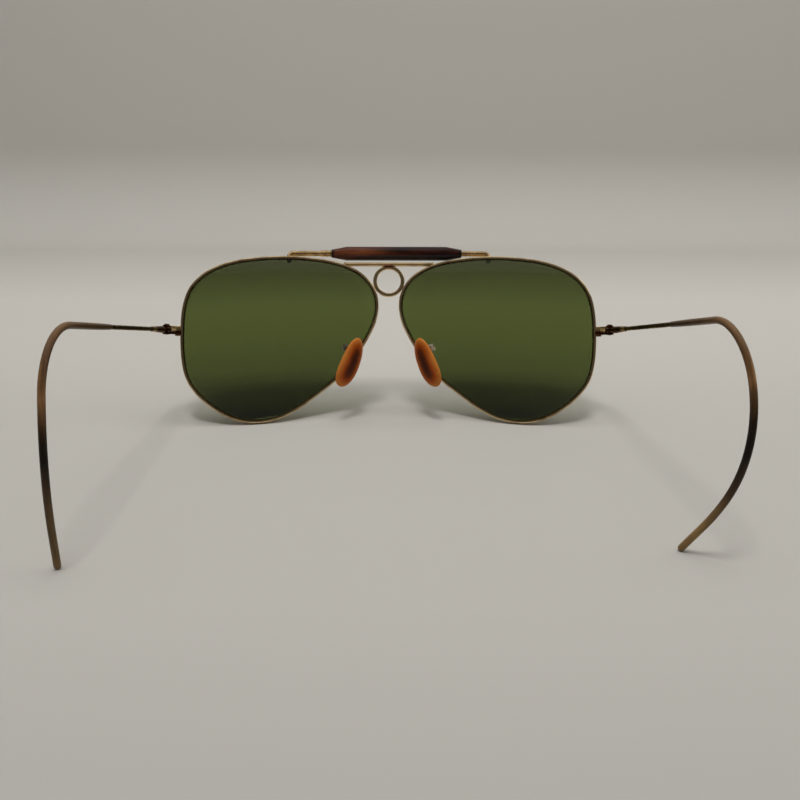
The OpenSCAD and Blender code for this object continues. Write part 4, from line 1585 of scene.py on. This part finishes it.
@dataclass
class Hinge:
    """The lock that closes a rim, its outer knuckles and both of its screws.

    The rounds of the lock are those at the rim, behind and in front. The rounds of
    the knuckle run from the foot of its bore outwards and up to the top of its bore.
    """

    front: Front
    side: Side
    knuckles: Knuckles = Knuckles()
    rim_slit: float = 0.05
    lock_w: float = 1.9
    lock_depth: float = 2.6
    lock_h: float = 1.325
    lock_rounds: tuple[float, float, float] = (0.1, 0.5, 0.7)
    lock_edge: float = 0.26
    lock_foot: float = 0.03
    web_w: float = 1.2
    web_inset: float = 0.04
    web_edge: float = 0.12
    web_foot: float = 0.02
    arm_foot: float = 0.05
    fork_gap: float = 0.45
    fork_steps: int = 6
    knuckle_rounds: tuple[float, float, float, float] = (0.04, 0.08, 0.2, 0.06)
    head_d: float = 1.6
    head_h: float = 0.4
    head_foot: float = 0.04
    head_edge: float = 0.1
    slot_w: float = 0.25
    slot_d: float = 0.25
    slot_sink: float = 0.03
    slot_steps: int = 18
    shaft_edge: float = 0.1
    screw_past: float = 0.15

    def build(self) -> None:
        """Builds both halves of the lock and both screws."""
        word, body = self.side.word, Body.FRONT.on(self.side)
        level = self.front.on(self.side) @ Matrix.Translation((0, 0, self.front.slit.z))
        for half, turn in (("upper", Matrix.Identity(4)), ("lower", UPSIDE_DOWN)):
            name, node = f"{word}_{half}_clasp", f"{word}_{half}_lock"
            self.half().place(name, HINGE_GOLD_PAINTED_SHADE, level @ turn, body, [node])
        lock_top = self.rim_slit / 2 + self.lock_h
        middle = (self.lock_x + self.lock_w / 2, self.front.slit.y, lock_top)
        closing = level @ Matrix.Translation(middle) @ UPSIDE_DOWN
        bolt = self.screw(2 * lock_top)
        bolt.place(f"{word}_clasp_bolt", SCREW, closing, body, [f"{word}_closing_screw"])
        axis = self.knuckles.axis(self.front)
        foot = self.knuckle_top + self.screw_past
        upright = level @ Matrix.Translation((axis.x, axis.y, -foot))
        bolt = self.screw(foot + self.knuckle_top)
        bolt.place(f"{word}_hinge_bolt", SCREW, upright, body, [f"{word}_hinge_screw"])

    @property
    def lock_x(self) -> float:
        """Outer side of the rim at its slit."""
        return self.front.slit.x + self.front.rim_wall

    @property
    def knuckle_foot(self) -> float:
        """Underside of the upper knuckle, over the middle of the hinge."""
        return self.knuckles.middle_h / 2 + self.knuckles.side_gap

    @property
    def knuckle_top(self) -> float:
        """Top of the upper knuckle, over the middle of the hinge."""
        return self.knuckle_foot + self.knuckles.outer_h

    def half(self) -> Shape:
        """Draws the upper half of the lock: block, forked web, arm and outer knuckle.

        Returns:
            The half.
        """
        shape = Shape()
        self.block(shape)
        self.arm(shape)
        self.knuckle(shape)
        return shape

    def block(self, shape: Shape) -> None:
        """Adds the block that lies against the rim.

        Args:
            shape: The half of the lock.
        """
        inner, outer = self.lock_x - self.front.braze, self.lock_x + self.lock_w
        back = self.front.slit.y - self.lock_depth / 2
        fore = self.front.slit.y + self.lock_depth / 2
        at_rim, behind, ahead = self.lock_rounds
        corners = [
            (inner, back, at_rim), (outer, back, behind),
            (outer, fore, ahead), (inner, fore, at_rim),
        ]
        outline = rounded(corners, steps=5)
        place = Matrix.Translation((0, 0, self.rim_slit / 2))
        shape.prism(outline, self.lock_h, self.lock_edge, self.lock_foot, place)

    def arm(self, shape: Shape) -> None:
        """Adds the forked web, which stays clear of the temple, and the arm over it.

        Args:
            shape: The half of the lock.
        """
        axis, half_w, low = self.knuckles.axis(self.front), self.web_w / 2, self.rim_slit / 2
        back = self.front.slit.y - self.lock_depth / 2
        start = Vector((self.lock_x + self.lock_w - half_w, back + half_w, 0))
        run = Vector((axis.x, axis.y, 0)) - start
        along = Matrix.Translation(start) @ Matrix.Rotation(math.atan2(run.y, run.x), 4, "Z")
        reach, hollow = run.length, self.knuckles.across / 2 + self.fork_gap
        wide = math.asin(half_w / hollow)
        turns = [wide - 2 * wide * step / self.fork_steps for step in range(self.fork_steps + 1)]
        fork = [(reach - hollow * math.cos(turn), -hollow * math.sin(turn)) for turn in turns]
        web = [Vector((x, y, 0)) for x, y in [(-half_w, half_w), (-half_w, -half_w), *fork]]
        place = along @ Matrix.Translation((0, 0, low))
        shape.prism(web, self.lock_h - self.web_inset, self.web_edge, self.web_foot, place)
        ends = [(0, -half_w), (reach, -half_w), (reach, half_w), (0, half_w)]
        foot = self.knuckle_foot + self.web_inset
        tall = low + self.lock_h - self.web_inset - foot
        place = along @ Matrix.Translation((0, 0, foot))
        outline = [Vector((x, y, 0)) for x, y in ends]
        shape.prism(outline, tall, self.web_edge, self.arm_foot, place)

    def knuckle(self, shape: Shape) -> None:
        """Adds the outer knuckle.

        Args:
            shape: The half of the lock.
        """
        axis = self.knuckles.axis(self.front)
        bore, ring = self.knuckles.bore, self.knuckles.across / 2
        foot, top = self.knuckle_foot, self.knuckle_top
        ends = ((bore, foot), (ring, foot), (ring, top), (bore, top))
        corners = [(*end, radius) for end, radius in zip(ends, self.knuckle_rounds)]
        upright = Matrix.Translation((axis.x, axis.y, 0))
        shape.spin(rounded(corners, steps=4), upright, Turn.KNUCKLE, closed=True)

    def screw(self, length: float) -> Shape:
        """Draws a slotted screw.

        Args:
            length: Length of its shaft.

        Returns:
            The screw, with its foot at the origin and its head at the top.
        """
        r, head = self.knuckles.screw_d / 2, self.head_d / 2
        floor = length + self.head_h - self.slot_d
        corners = [
            (0, 0, 0), (r, 0, self.shaft_edge), (r, length, 0),
            (head, length, self.head_foot), (head, floor, 0), (0, floor, 0),
        ]
        shape = Shape()
        profile = rounded(corners, steps=3, closed=False)
        shape.spin(profile, Matrix.Identity(4), Turn.SCREW)
        start = math.asin(self.slot_w / 2 / head)
        steps = range(self.slot_steps + 1)
        turns = [start + (math.pi - 2 * start) * step / self.slot_steps for step in steps]
        moon = [Vector((head * math.cos(turn), head * math.sin(turn), 0)) for turn in turns]
        rise = Matrix.Translation((0, 0, floor - self.slot_sink))
        tall = self.slot_d + self.slot_sink
        for degrees in (0, 180):
            shape.prism(moon, tall, self.head_edge, 0.0, turned(degrees, "Z") @ rise)
        return shape


# Temples


@dataclass
class Temple:
    """One cable temple: root, wire, sheath and tip.

    Its sizes are in millimetres and its turns in degrees. The rounds of the stem run
    from the tongue to the stem's end, and so do the necks, which stand over the wire.
    """

    front: Front
    side: Side
    splay: float
    bend_r: float
    bend: float
    bend_roll: float
    curve_r: float
    curve: float
    curve_roll: float
    knuckles: Knuckles = Knuckles()
    straight: float = 74.5
    bend_steps: int = 12
    curve_steps: int = 7
    tail_steps: int = 2
    tail_r: float = 65.0
    tail_turn: float = 8.0
    tip_len: float = 8.0
    tip_steps: int = 4
    wire_d: float = 1.24
    wire_in: float = 4.0
    wire_grip: float = 15.0
    root_d: float = 2.2
    root_len: float = 15.0
    root_round: float = 0.12
    bore_round: float = 0.06
    tongue_w: float = 1.5
    tongue_past: float = 0.9
    tongue_gap: float = 0.3
    tongue_round: float = 0.2
    tongue_edge: float = 0.05
    stem_in: float = 0.3
    stem_rounds: tuple[float, float, float, float] = (0.15, 1.6, 2.0, 0.08)
    swell: float = 2.4
    necks: tuple[float, float] = (0.18, 0.16)
    neck_len: float = 0.7
    sheath_start: float = 49.5
    sheath_d: float = 1.75
    sheath_taper: float = 12.0
    sheath_edge: float = 0.08
    sheath_gap: float = 0.02
    sheath_step: float = 3.0
    sheath_steps: int = 3
    taper_steps: int = 8
    cable_gap: float = 0.02
    sides: int = 28
    sheath_run: float = field(init=False, default=0.0)

    @property
    def hinge(self) -> Vector:
        """Middle of the hinge, in the right half of the front."""
        return self.knuckles.axis(self.front)

    def hook(self, fine: int = 3) -> list[Station]:
        """Stations from the end of the straight run to the end of the tail.

        Args:
            fine: How many times finer than its coarsest steps the path is.

        Returns:
            The stations, in the frame of the temple.
        """
        base = Station().go(self.straight)
        path, rolls, rolled = [base], [0.0], 0.0
        runs = (
            (self.bend_roll, self.bend_r, self.bend, self.bend_steps * fine),
            (self.curve_roll, self.curve_r, self.curve, self.curve_steps * fine),
            (0.0, self.tail_r, self.tail_turn, self.tail_steps * fine),
        )
        for roll, radius, angle, count in runs:
            base, rolled = base.roll(roll), rolled + roll
            path += [base.bend(radius, angle * step / count) for step in range(1, count + 1)]
            rolls += [rolled] * count
            base = path[-1]
        return [station.roll(-roll) for station, roll in zip(path, rolls)]

    def rise(self) -> float:
        """Works out how far the temple rises, so that its tip stands on the floor.

        Returns:
            The rise, in degrees.
        """
        end = self.hook(fine=1)[-1].go(self.tip_len).place
        tip = Vector((end.y, -end.z, -end.x))
        lean, splay = math.radians(self.front.lean), math.radians(self.splay)
        sine, cosine = math.sin(lean), math.cos(lean)
        hinge_z = (self.front.standing @ self.hinge).z / MM
        level = floor_height() / MM + self.sheath_d / 2 - hinge_z + sine * math.sin(splay) * tip.x
        p = cosine * tip.z - sine * math.cos(splay) * tip.y
        q = -cosine * tip.y - sine * math.cos(splay) * tip.z
        return math.degrees(math.asin(level / math.hypot(p, q)) - math.atan2(p, q))

    @property
    def place(self) -> Matrix:
        """From the frame of the temple, which runs back along +Z and bends to +X.

        Returns:
            The matrix to this side of the standing frame.
        """
        turn = turned(self.splay, "Z") @ turned(90 - self.rise(), "X") @ turned(-90, "Z")
        return self.front.on(self.side) @ Matrix.Translation(self.hinge) @ turn

    def build(self) -> None:
        """Builds the pieces of the temple."""
        word, place = self.side.word, self.place
        body = Body.TEMPLE.on(self.side)
        self.root(place).place(f"{word}_temple_stem", ROOT_PAINTED_LIGHT, place, body, [f"{word}_temple_root"])
        self.wire().place(f"{word}_temple_shaft", WIRE, place, body, [f"{word}_temple_wire"])
        skin = SHEATHS[self.side]
        self.sheath().place(f"{word}_temple_skin", skin, place, body, [f"{word}_sheath"])
        end = replace(skin, slot="tip_brown")
        self.tip().place(f"{word}_temple_end", end, place, body, [f"{word}_tip"])
        dress(f"{word}_cable", CABLE)

    def root(self, place: Matrix) -> Shape:
        """Draws the knuckle, the tongue and the tapered stem.

        Args:
            place: Place of the temple, which the knuckle stands upright in.

        Returns:
            The root.
        """
        shape = Shape()
        half, outer = self.knuckles.middle_h / 2, self.knuckles.across / 2
        bore = self.knuckles.bore
        corners = [
            (bore, -half, self.bore_round), (outer, -half, self.root_round),
            (outer, half, self.root_round), (bore, half, self.bore_round),
        ]
        upright = place.inverted() @ self.front.on(self.side) @ Matrix.Translation(self.hinge)
        shape.spin(rounded(corners, steps=3), upright, Turn.STEM, closed=True)
        tongue_t = self.knuckles.middle_h - self.knuckles.side_gap
        tongue_len = outer + self.tongue_past
        start = self.knuckles.screw_d / 2 + self.tongue_gap
        thick, wide, soft = tongue_t / 2, self.tongue_w / 2, self.tongue_round
        corners = [
            (-thick, -wide, soft), (thick, -wide, soft), (thick, wide, soft), (-thick, wide, soft)
        ]
        tall, edge = tongue_len + self.swell / 2 - start, self.tongue_edge
        rise = Matrix.Translation((0, 0, start))
        shape.prism(rounded(corners, steps=3), tall, edge, edge, rise)
        wire_r, low = self.wire_d / 2, tongue_len - self.stem_in
        neck, mouth = (wire_r + wall for wall in self.necks)
        at_tongue, at_swell, at_neck, at_mouth = self.stem_rounds
        corners = [
            (0, low, 0), (thick, low, at_tongue),
            (self.root_d / 2, tongue_len + self.swell, at_swell),
            (neck, self.root_len - self.neck_len, at_neck),
            (mouth, self.root_len, at_mouth), (0, self.root_len, 0),
        ]
        profile = rounded(corners, steps=6, closed=False)
        shape.spin(profile, Matrix.Identity(4), Turn.STEM)
        return shape

    def wire(self) -> Shape:
        """Draws the stiff straight wire, from inside the root to inside the sheath.

        Returns:
            The wire.
        """
        start, end = self.root_len - self.wire_in, self.sheath_start + self.wire_grip
        r = self.wire_d / 2
        profile = [Vector((0, start)), Vector((r, start)), Vector((r, end)), Vector((0, end))]
        shape = Shape()
        shape.spin(profile, Matrix.Identity(4), Turn.WIRE)
        return shape

    def sheath(self) -> Shape:
        """Sweeps the sheath: a tube that starts thin and follows the bends.

        Returns:
            The sheath.
        """
        r, bore = self.sheath_d / 2, self.wire_d / 2 + self.cable_gap + self.sheath_gap
        thin = bore + self.sheath_edge
        mouth = Station().go(self.sheath_start)
        shares = [step / self.taper_steps for step in range(self.taper_steps + 1)]
        taper = [Station().go(self.sheath_start + self.sheath_taper * share) for share in shares]
        sizes = [thin + (r - thin) * math.sin(share * math.pi / 2) for share in shares]
        steps = range(1, self.sheath_steps + 1)
        run = [taper[-1].go(self.sheath_step * step) for step in steps]
        hook = self.hook()
        outside = [*taper, *run, *hook]
        pairs = zip(outside, outside[1:])
        self.sheath_run = sum((after.place - before.place).length for before, after in pairs)
        sizes += [r] * (len(outside) - len(sizes))
        inside = [mouth, *hook]
        path = [*outside, *reversed(inside)]
        sections = [circle(size, self.sides) for size in [*sizes, *[bore] * len(inside)]]
        shape = Shape()
        shape.sweep(path, sections, loop=True)
        return shape

    def tip(self) -> Shape:
        """Draws the straight closed tip with its round end.

        Returns:
            The tip. Its pattern runs on from the sheath's.
        """
        r, base = self.sheath_d / 2, self.hook()[-1]
        straight = [
            base.go(self.tip_len * step / self.tip_steps) for step in range(self.tip_steps + 1)
        ]
        path = [*straight, *[straight[-1].go(ahead) for ahead, _ in dome(r)]]
        sizes = [*[r] * len(straight), *[size for _, size in dome(r)]]
        shape = Shape()
        shape.sweep(path, [circle(size, self.sides) for size in sizes], start=self.sheath_run)
        return shape


# Nose pads


@dataclass
class NosePad:
    """One nose pad with its lug, and the arm that carries its box.

    Shares of the pad run from -1 at its lower end to 1 at its upper end.
    """

    front: Front
    side: Side
    pad_len: float = 16.6
    pad_w: float = 8.4
    pad_t: float = 3.0
    pad_x: float = 12.4
    pad_back: float = 9.6
    pad_drop: float = 7.6
    pad_lean: float = 22.0
    pad_face: float = 38.0
    end_share: float = 0.99995
    outline_power: float = 2.5
    middle_width: float = 1.03
    narrowing: float = 0.13
    swell_power: float = 0.4
    face_swell: float = 0.8
    bulge: float = 0.6
    bulge_share: float = 0.7
    core_len: float = 1.02
    pin_up: float = 4.0
    pin_back: float = 1.0
    pin_d: float = 0.8
    pin_gap: float = 0.05
    lug_t: float = 1.0
    lug_r: float = 0.8
    lug_round: float = 0.1
    eye_round: float = 0.05
    neck_edge: float = 0.04
    arm_d: float = 1.1
    arm_drop: float = 4.0
    arm_stub: float = 1.2
    arm_lead: float = 0.9
    arm_seat_turn: float = 40.0
    arm_seat_gap: float = 0.1
    arm_steps: int = 12
    arm_sides: int = 20
    socket_depth: float = 0.8
    disc_r: float = 1.2
    disc_round: float = 0.12
    box_gap: float = 0.5
    box_wall: float = 0.5
    side_gap: float = 0.1
    rings: int = 36
    sides: int = 40

    @property
    def from_pad(self) -> Matrix:
        """From the frame of the pad: +Z runs up the pad, +X is the face on the nose.

        Returns:
            The matrix to the right half of the front.
        """
        place = Matrix.Translation((self.pad_x, -self.pad_back, -self.pad_drop))
        return place @ turned(-self.pad_lean, "Y") @ turned(180 + self.pad_face, "Z")

    @property
    def pin_depth(self) -> float:
        """Distance of the pin behind the middle of the pad."""
        return self.pad_t / 2 + self.box_gap + self.pin_back

    def build(self) -> None:
        """Builds the pad, its lug and its arm, and dresses the box and the pin."""
        word, side_place = self.side.word, self.front.on(self.side)
        place = side_place @ self.from_pad
        body, front = Body.PAD.on(self.side), Body.FRONT.on(self.side)
        self.pad().place(f"{word}_pad_amber", AMBER, place, body, [f"{word}_nose_pad"])
        self.lug().place(f"{word}_pad_eye", LUG, place, body, [f"{word}_pad_lug"])
        self.arm().place(f"{word}_pad_wire", FITTING, side_place, front, [f"{word}_pad_arm"])
        dress(f"{word}_pad_box", FITTING)
        dress(f"{word}_pad_pin", SCREW)

    def pad(self) -> Shape:
        """Draws the plump oval, flatter on its nose face and wider at the bottom.

        Returns:
            The pad, with the distance from its middle on its skin.
        """
        rings, skins = [], []
        for number in range(self.rings + 1):
            t = -math.cos(math.pi * number / self.rings)
            t = max(-self.end_share, min(self.end_share, t))
            width = self.middle_width - self.narrowing * t
            half_w = self.pad_w / 2 * math.sqrt(1 - abs(t) ** self.outline_power) * width
            half_t = self.pad_t / 2 * (1 - t * t) ** self.swell_power
            ring, skin = [], []
            for x, y in circle(1, self.sides):
                thick = half_t * x * (self.face_swell if x > 0 else 1)
                across = half_w * y - self.bulge * (self.bulge_share - t * t)
                ring.append(Vector((thick, across, self.pad_len / 2 * t)))
                depth = math.sqrt((t * self.core_len) ** 4 + (y * math.sqrt(1 - t * t)) ** 2)
                skin.append(Vector((depth, x, y)))
            rings.append(ring)
            skins.append(skin)
        shape = Shape()
        shape.loft(rings, skins, poles=True)
        return shape

    def lug(self) -> Shape:
        """Draws the eye round the pin, its neck, and the disc set in the pad.

        Returns:
            The lug.
        """
        shape = Shape()
        bore, outer, half = self.pin_d / 2 + self.pin_gap, self.lug_r, self.lug_t / 2
        soft, edge = self.lug_round, self.eye_round
        eye = [(bore, -half, edge), (outer, -half, soft), (outer, half, soft), (bore, half, edge)]
        pin = Matrix.Translation((-self.pin_depth, 0, self.pin_up)) @ Z_TO_BACK
        shape.spin(rounded(eye, steps=3), pin, Turn.LUG, closed=True)
        start = (bore + outer) / 2 - self.pin_depth
        neck = self.socket_depth - self.pad_t / 2 - start
        section = [
            (-outer, -half, soft), (outer, -half, soft), (outer, half, soft), (-outer, half, soft)
        ]
        place, edge = Matrix.Translation((start, 0, self.pin_up)) @ Z_TO_X, self.neck_edge
        shape.prism(rounded(section, steps=2), neck, edge, edge, place)
        disc = [
            (0, 0, 0), (self.disc_r, 0, self.disc_round),
            (self.disc_r, self.socket_depth, self.disc_round), (0, self.socket_depth, 0),
        ]
        place = Matrix.Translation((-self.pad_t / 2, 0, self.pin_up)) @ Z_TO_X
        shape.spin(rounded(disc, steps=3, closed=False), place, Turn.LUG)
        return shape

    def arm(self) -> Shape:
        """Sweeps the bent wire from the back of the rim to the box.

        Returns:
            The arm.
        """
        front = self.front
        root = front.nose_side_at(-self.arm_drop, (front.rim_wall - front.rim_lip) / 2)
        root -= Vector((0, front.rim_depth / 2 - front.braze, 0))
        knee = root - Vector((0, self.arm_stub, 0))
        seat = self.pin_d / 2 + self.arm_d / 2 + self.arm_seat_gap
        turn = math.radians(self.arm_seat_turn)
        deep, high = self.pin_depth + seat * math.cos(turn), self.pin_up - seat * math.sin(turn)
        side = self.lug_t / 2 + self.side_gap + self.box_wall
        elbow = self.from_pad @ Vector((-deep, -side - self.arm_lead, high))
        end = self.from_pad @ Vector((-deep, front.braze / 2 - side, high))
        line = [2 * root - knee, root, knee, elbow, end, 2 * end - elbow]
        path = [
            curve_at(*line[number - 1:number + 3], step / self.arm_steps)
            for number in (1, 2, 3)
            for step in range(self.arm_steps)
        ]
        stations = stations_through([*path, end], Vector((0, 0, 1)))
        shape = Shape()
        shape.sweep(stations, [circle(self.arm_d / 2, self.arm_sides)] * len(stations))
        return shape


# Studio


@dataclass(frozen=True)
class Lamp:
    """Soft square lamp. Its place and the side of its square are in metres, its power in watts."""

    name: str
    place: tuple[float, float, float]
    size: float
    power: float
    mirrored: bool = True

    def hang(self, target: Vector) -> None:
        """Hangs the lamp.

        Args:
            target: Point that it shines at.
        """
        light = bpy.data.lights.new(self.name, "AREA")
        light.size = self.size
        light.energy = self.power
        lamp = stand(self.name, light)
        lamp.location = self.place
        lamp.visible_glossy = self.mirrored
        lamp.rotation_mode = "QUATERNION"
        lamp.rotation_quaternion = (target - Vector(self.place)).to_track_quat("-Z", "Y")


@dataclass
class Studio:
    """Pale floor and backdrop, soft lamps and the camera. Sizes in metres.

    The painted light levels brighten the paper from the near side to the wall: painted light
    for how the lamps fall on it. The room's levels brighten the world from straight down
    to straight up.
    """

    paper_colour: Colour = (0.53, 0.51, 0.47)
    paper_rough: float = 0.9
    paper_gloss: float = 0.2
    # Painted light: the paper is brighter behind the object and on the wall, darker near the
    # camera.
    painted_light_levels: Levels = (
        (-0.17, 0.86), (-0.12, 0.945), (-0.037, 0.98), (0.0, 1.01), (0.06, 1.10), (0.153, 1.18),
        (0.29, 1.01), (0.36, 1.17),
    )
    wall_y: float = 0.36
    wall_h: float = 1.4
    half_w: float = 2.2
    cove_r: float = 0.06
    cove_steps: int = 12
    near: float = -2.4
    lamps: tuple[Lamp, ...] = (
        Lamp("key_lamp", (-0.05, -0.31, 0.87), size=0.20, power=3.2, mirrored=False),
        Lamp("sheen_lamp", (-0.25, 0.12, 0.95), size=0.80, power=1.4),
        Lamp("fill_lamp", (0.75, 0.05, 0.60), size=0.5, power=1.1),
        Lamp("top_lamp", (0.1, 0.15, 0.95), size=0.6, power=1.9, mirrored=False),
    )
    lit: Vector = field(default_factory=lambda: Vector((0, -0.04, -0.01)))
    room_tone: Colour = (1.0, 0.985, 0.95)
    room_levels: Levels = ((0.0, 0.10), (0.5, 0.16), (0.72, 0.30), (1.0, 0.60))
    room_near: tuple[float, float] = (-0.75, 0.25)
    room_far: tuple[float, float] = (0.15, 1.0)
    haze: Colour = (0.135, 0.13, 0.115)
    camera_place: Vector = field(default_factory=lambda: Vector((0.00173, -0.27614, 0.06082)))
    camera_sensor: float = 36.0
    camera_lens: float = 38.686
    camera_clip: float = 0.01
    camera_down: float = 20.28
    camera_turn: float = -0.43
    camera_roll: float = 0.21

    def build(self) -> None:
        """Builds the backdrop, the lamps, the world and the camera."""
        self.backdrop()
        for lamp in self.lamps:
            lamp.hang(self.lit)
        self.world()
        self.camera()
        bpy.context.scene.view_settings.view_transform = "Standard"

    def backdrop(self) -> None:
        """Draws the floor, which turns up into a wall behind the object."""
        low = floor_height()
        corners = [
            (self.near, low, 0), (self.wall_y, low, self.cove_r), (self.wall_y, self.wall_h, 0)
        ]
        profile = rounded(corners, self.cove_steps, closed=False)
        bm = bmesh.new()
        verts = [bm.verts.new((-self.half_w, point.x, point.y)) for point in profile]
        edges = [bm.edges.new(pair) for pair in zip(verts, verts[1:])]
        made = bmesh.ops.extrude_edge_only(bm, edges=edges)["geom"]
        moved = [part for part in made if isinstance(part, BMVert)]
        bmesh.ops.translate(bm, vec=Vector((2 * self.half_w, 0, 0)), verts=moved)
        backdrop = cast(bm, "backdrop", self.paper())

    def paper(self) -> bpy.types.Material:
        """Makes the paper of the backdrop, with painted light along it.

        Returns:
            The material.
        """
        material = bpy.data.materials.new("backdrop_paper")
        nodes = Nodes(material)
        nodes.set(Roughness=self.paper_rough, Specular_IOR_Level=self.paper_gloss)
        near, far = self.painted_light_levels[0][0], self.painted_light_levels[-1][0]
        share = nodes.span(nodes.axis(nodes.coordinates(), "Y"), near, far)
        stops = [
            ((at - near) / (far - near), tuple(part * level for part in self.paper_colour))
            for at, level in self.painted_light_levels
        ]
        nodes.link(nodes.ramp(share, stops), nodes.shader.inputs["Base Color"])
        return material

    def world(self) -> None:
        """Makes a soft room: pale overhead and behind, darker low down and on the near side."""
        world = bpy.data.worlds.new("soft_room")
        nodes = Nodes(world, "Background", "World Output")
        way = nodes.add("ShaderNodeTexCoord").outputs["Generated"]
        stops = [
            (at, tuple(part * level for part in self.room_tone)) for at, level in self.room_levels
        ]
        colour = nodes.ramp(nodes.span(nodes.axis(way, "Z"), -1, 1), stops)
        nodes.link(colour, nodes.shader.inputs["Color"])
        (near, dim), (far, full) = self.room_near, self.room_far
        strength = nodes.span(nodes.axis(way, "Y"), near, far, dim, full)
        nodes.link(strength, nodes.shader.inputs["Strength"])
        haze = nodes.add("ShaderNodeBackground")
        haze.inputs["Color"].default_value = (*self.haze, 1)
        seen = nodes.add("ShaderNodeLightPath").outputs["Is Camera Ray"]
        nodes.either(seen, nodes.shader.outputs["Background"], haze.outputs["Background"])
        bpy.context.scene.world = world

    def camera(self) -> None:
        """Puts the camera where the photograph was taken from."""
        data = bpy.data.cameras.new("camera")
        data.sensor_width = self.camera_sensor
        data.lens = self.camera_lens
        data.clip_start = self.camera_clip
        camera = stand("camera", data)
        level = turned(self.camera_turn, "Z") @ turned(90 - self.camera_down, "X")
        turn = level @ turned(self.camera_roll, "Z")
        camera.matrix_world = Matrix.Translation(self.camera_place) @ turn
        bpy.context.scene.camera = camera


def main() -> None:
    """Builds the sunglasses and the studio, piece by piece."""
    logging.basicConfig(level=logging.INFO, format="%(name)s: %(message)s")
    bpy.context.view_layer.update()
    front = Front()
    for side in Side:
        Eye(front, side).build()
    Bridge(front).build()
    BrowBar(front).build()
    Temple(
        front,
        Side.LEFT,
        splay=2.0,
        bend_r=17.0,
        bend=84.0,
        bend_roll=-1.5,
        curve_r=52.0,
        curve=27.0,
        curve_roll=12.5,
    ).build()
    Temple(
        front,
        Side.RIGHT,
        splay=4.5,
        bend_r=15.0,
        bend=85.0,
        bend_roll=7.0,
        curve_r=37.5,
        curve=45.0,
        curve_roll=-30.5,
    ).build()
    for side in Side:
        Hinge(front, side).build()
        NosePad(front, side).build()
    Studio().build()


if __name__ == "__main__":
    main()
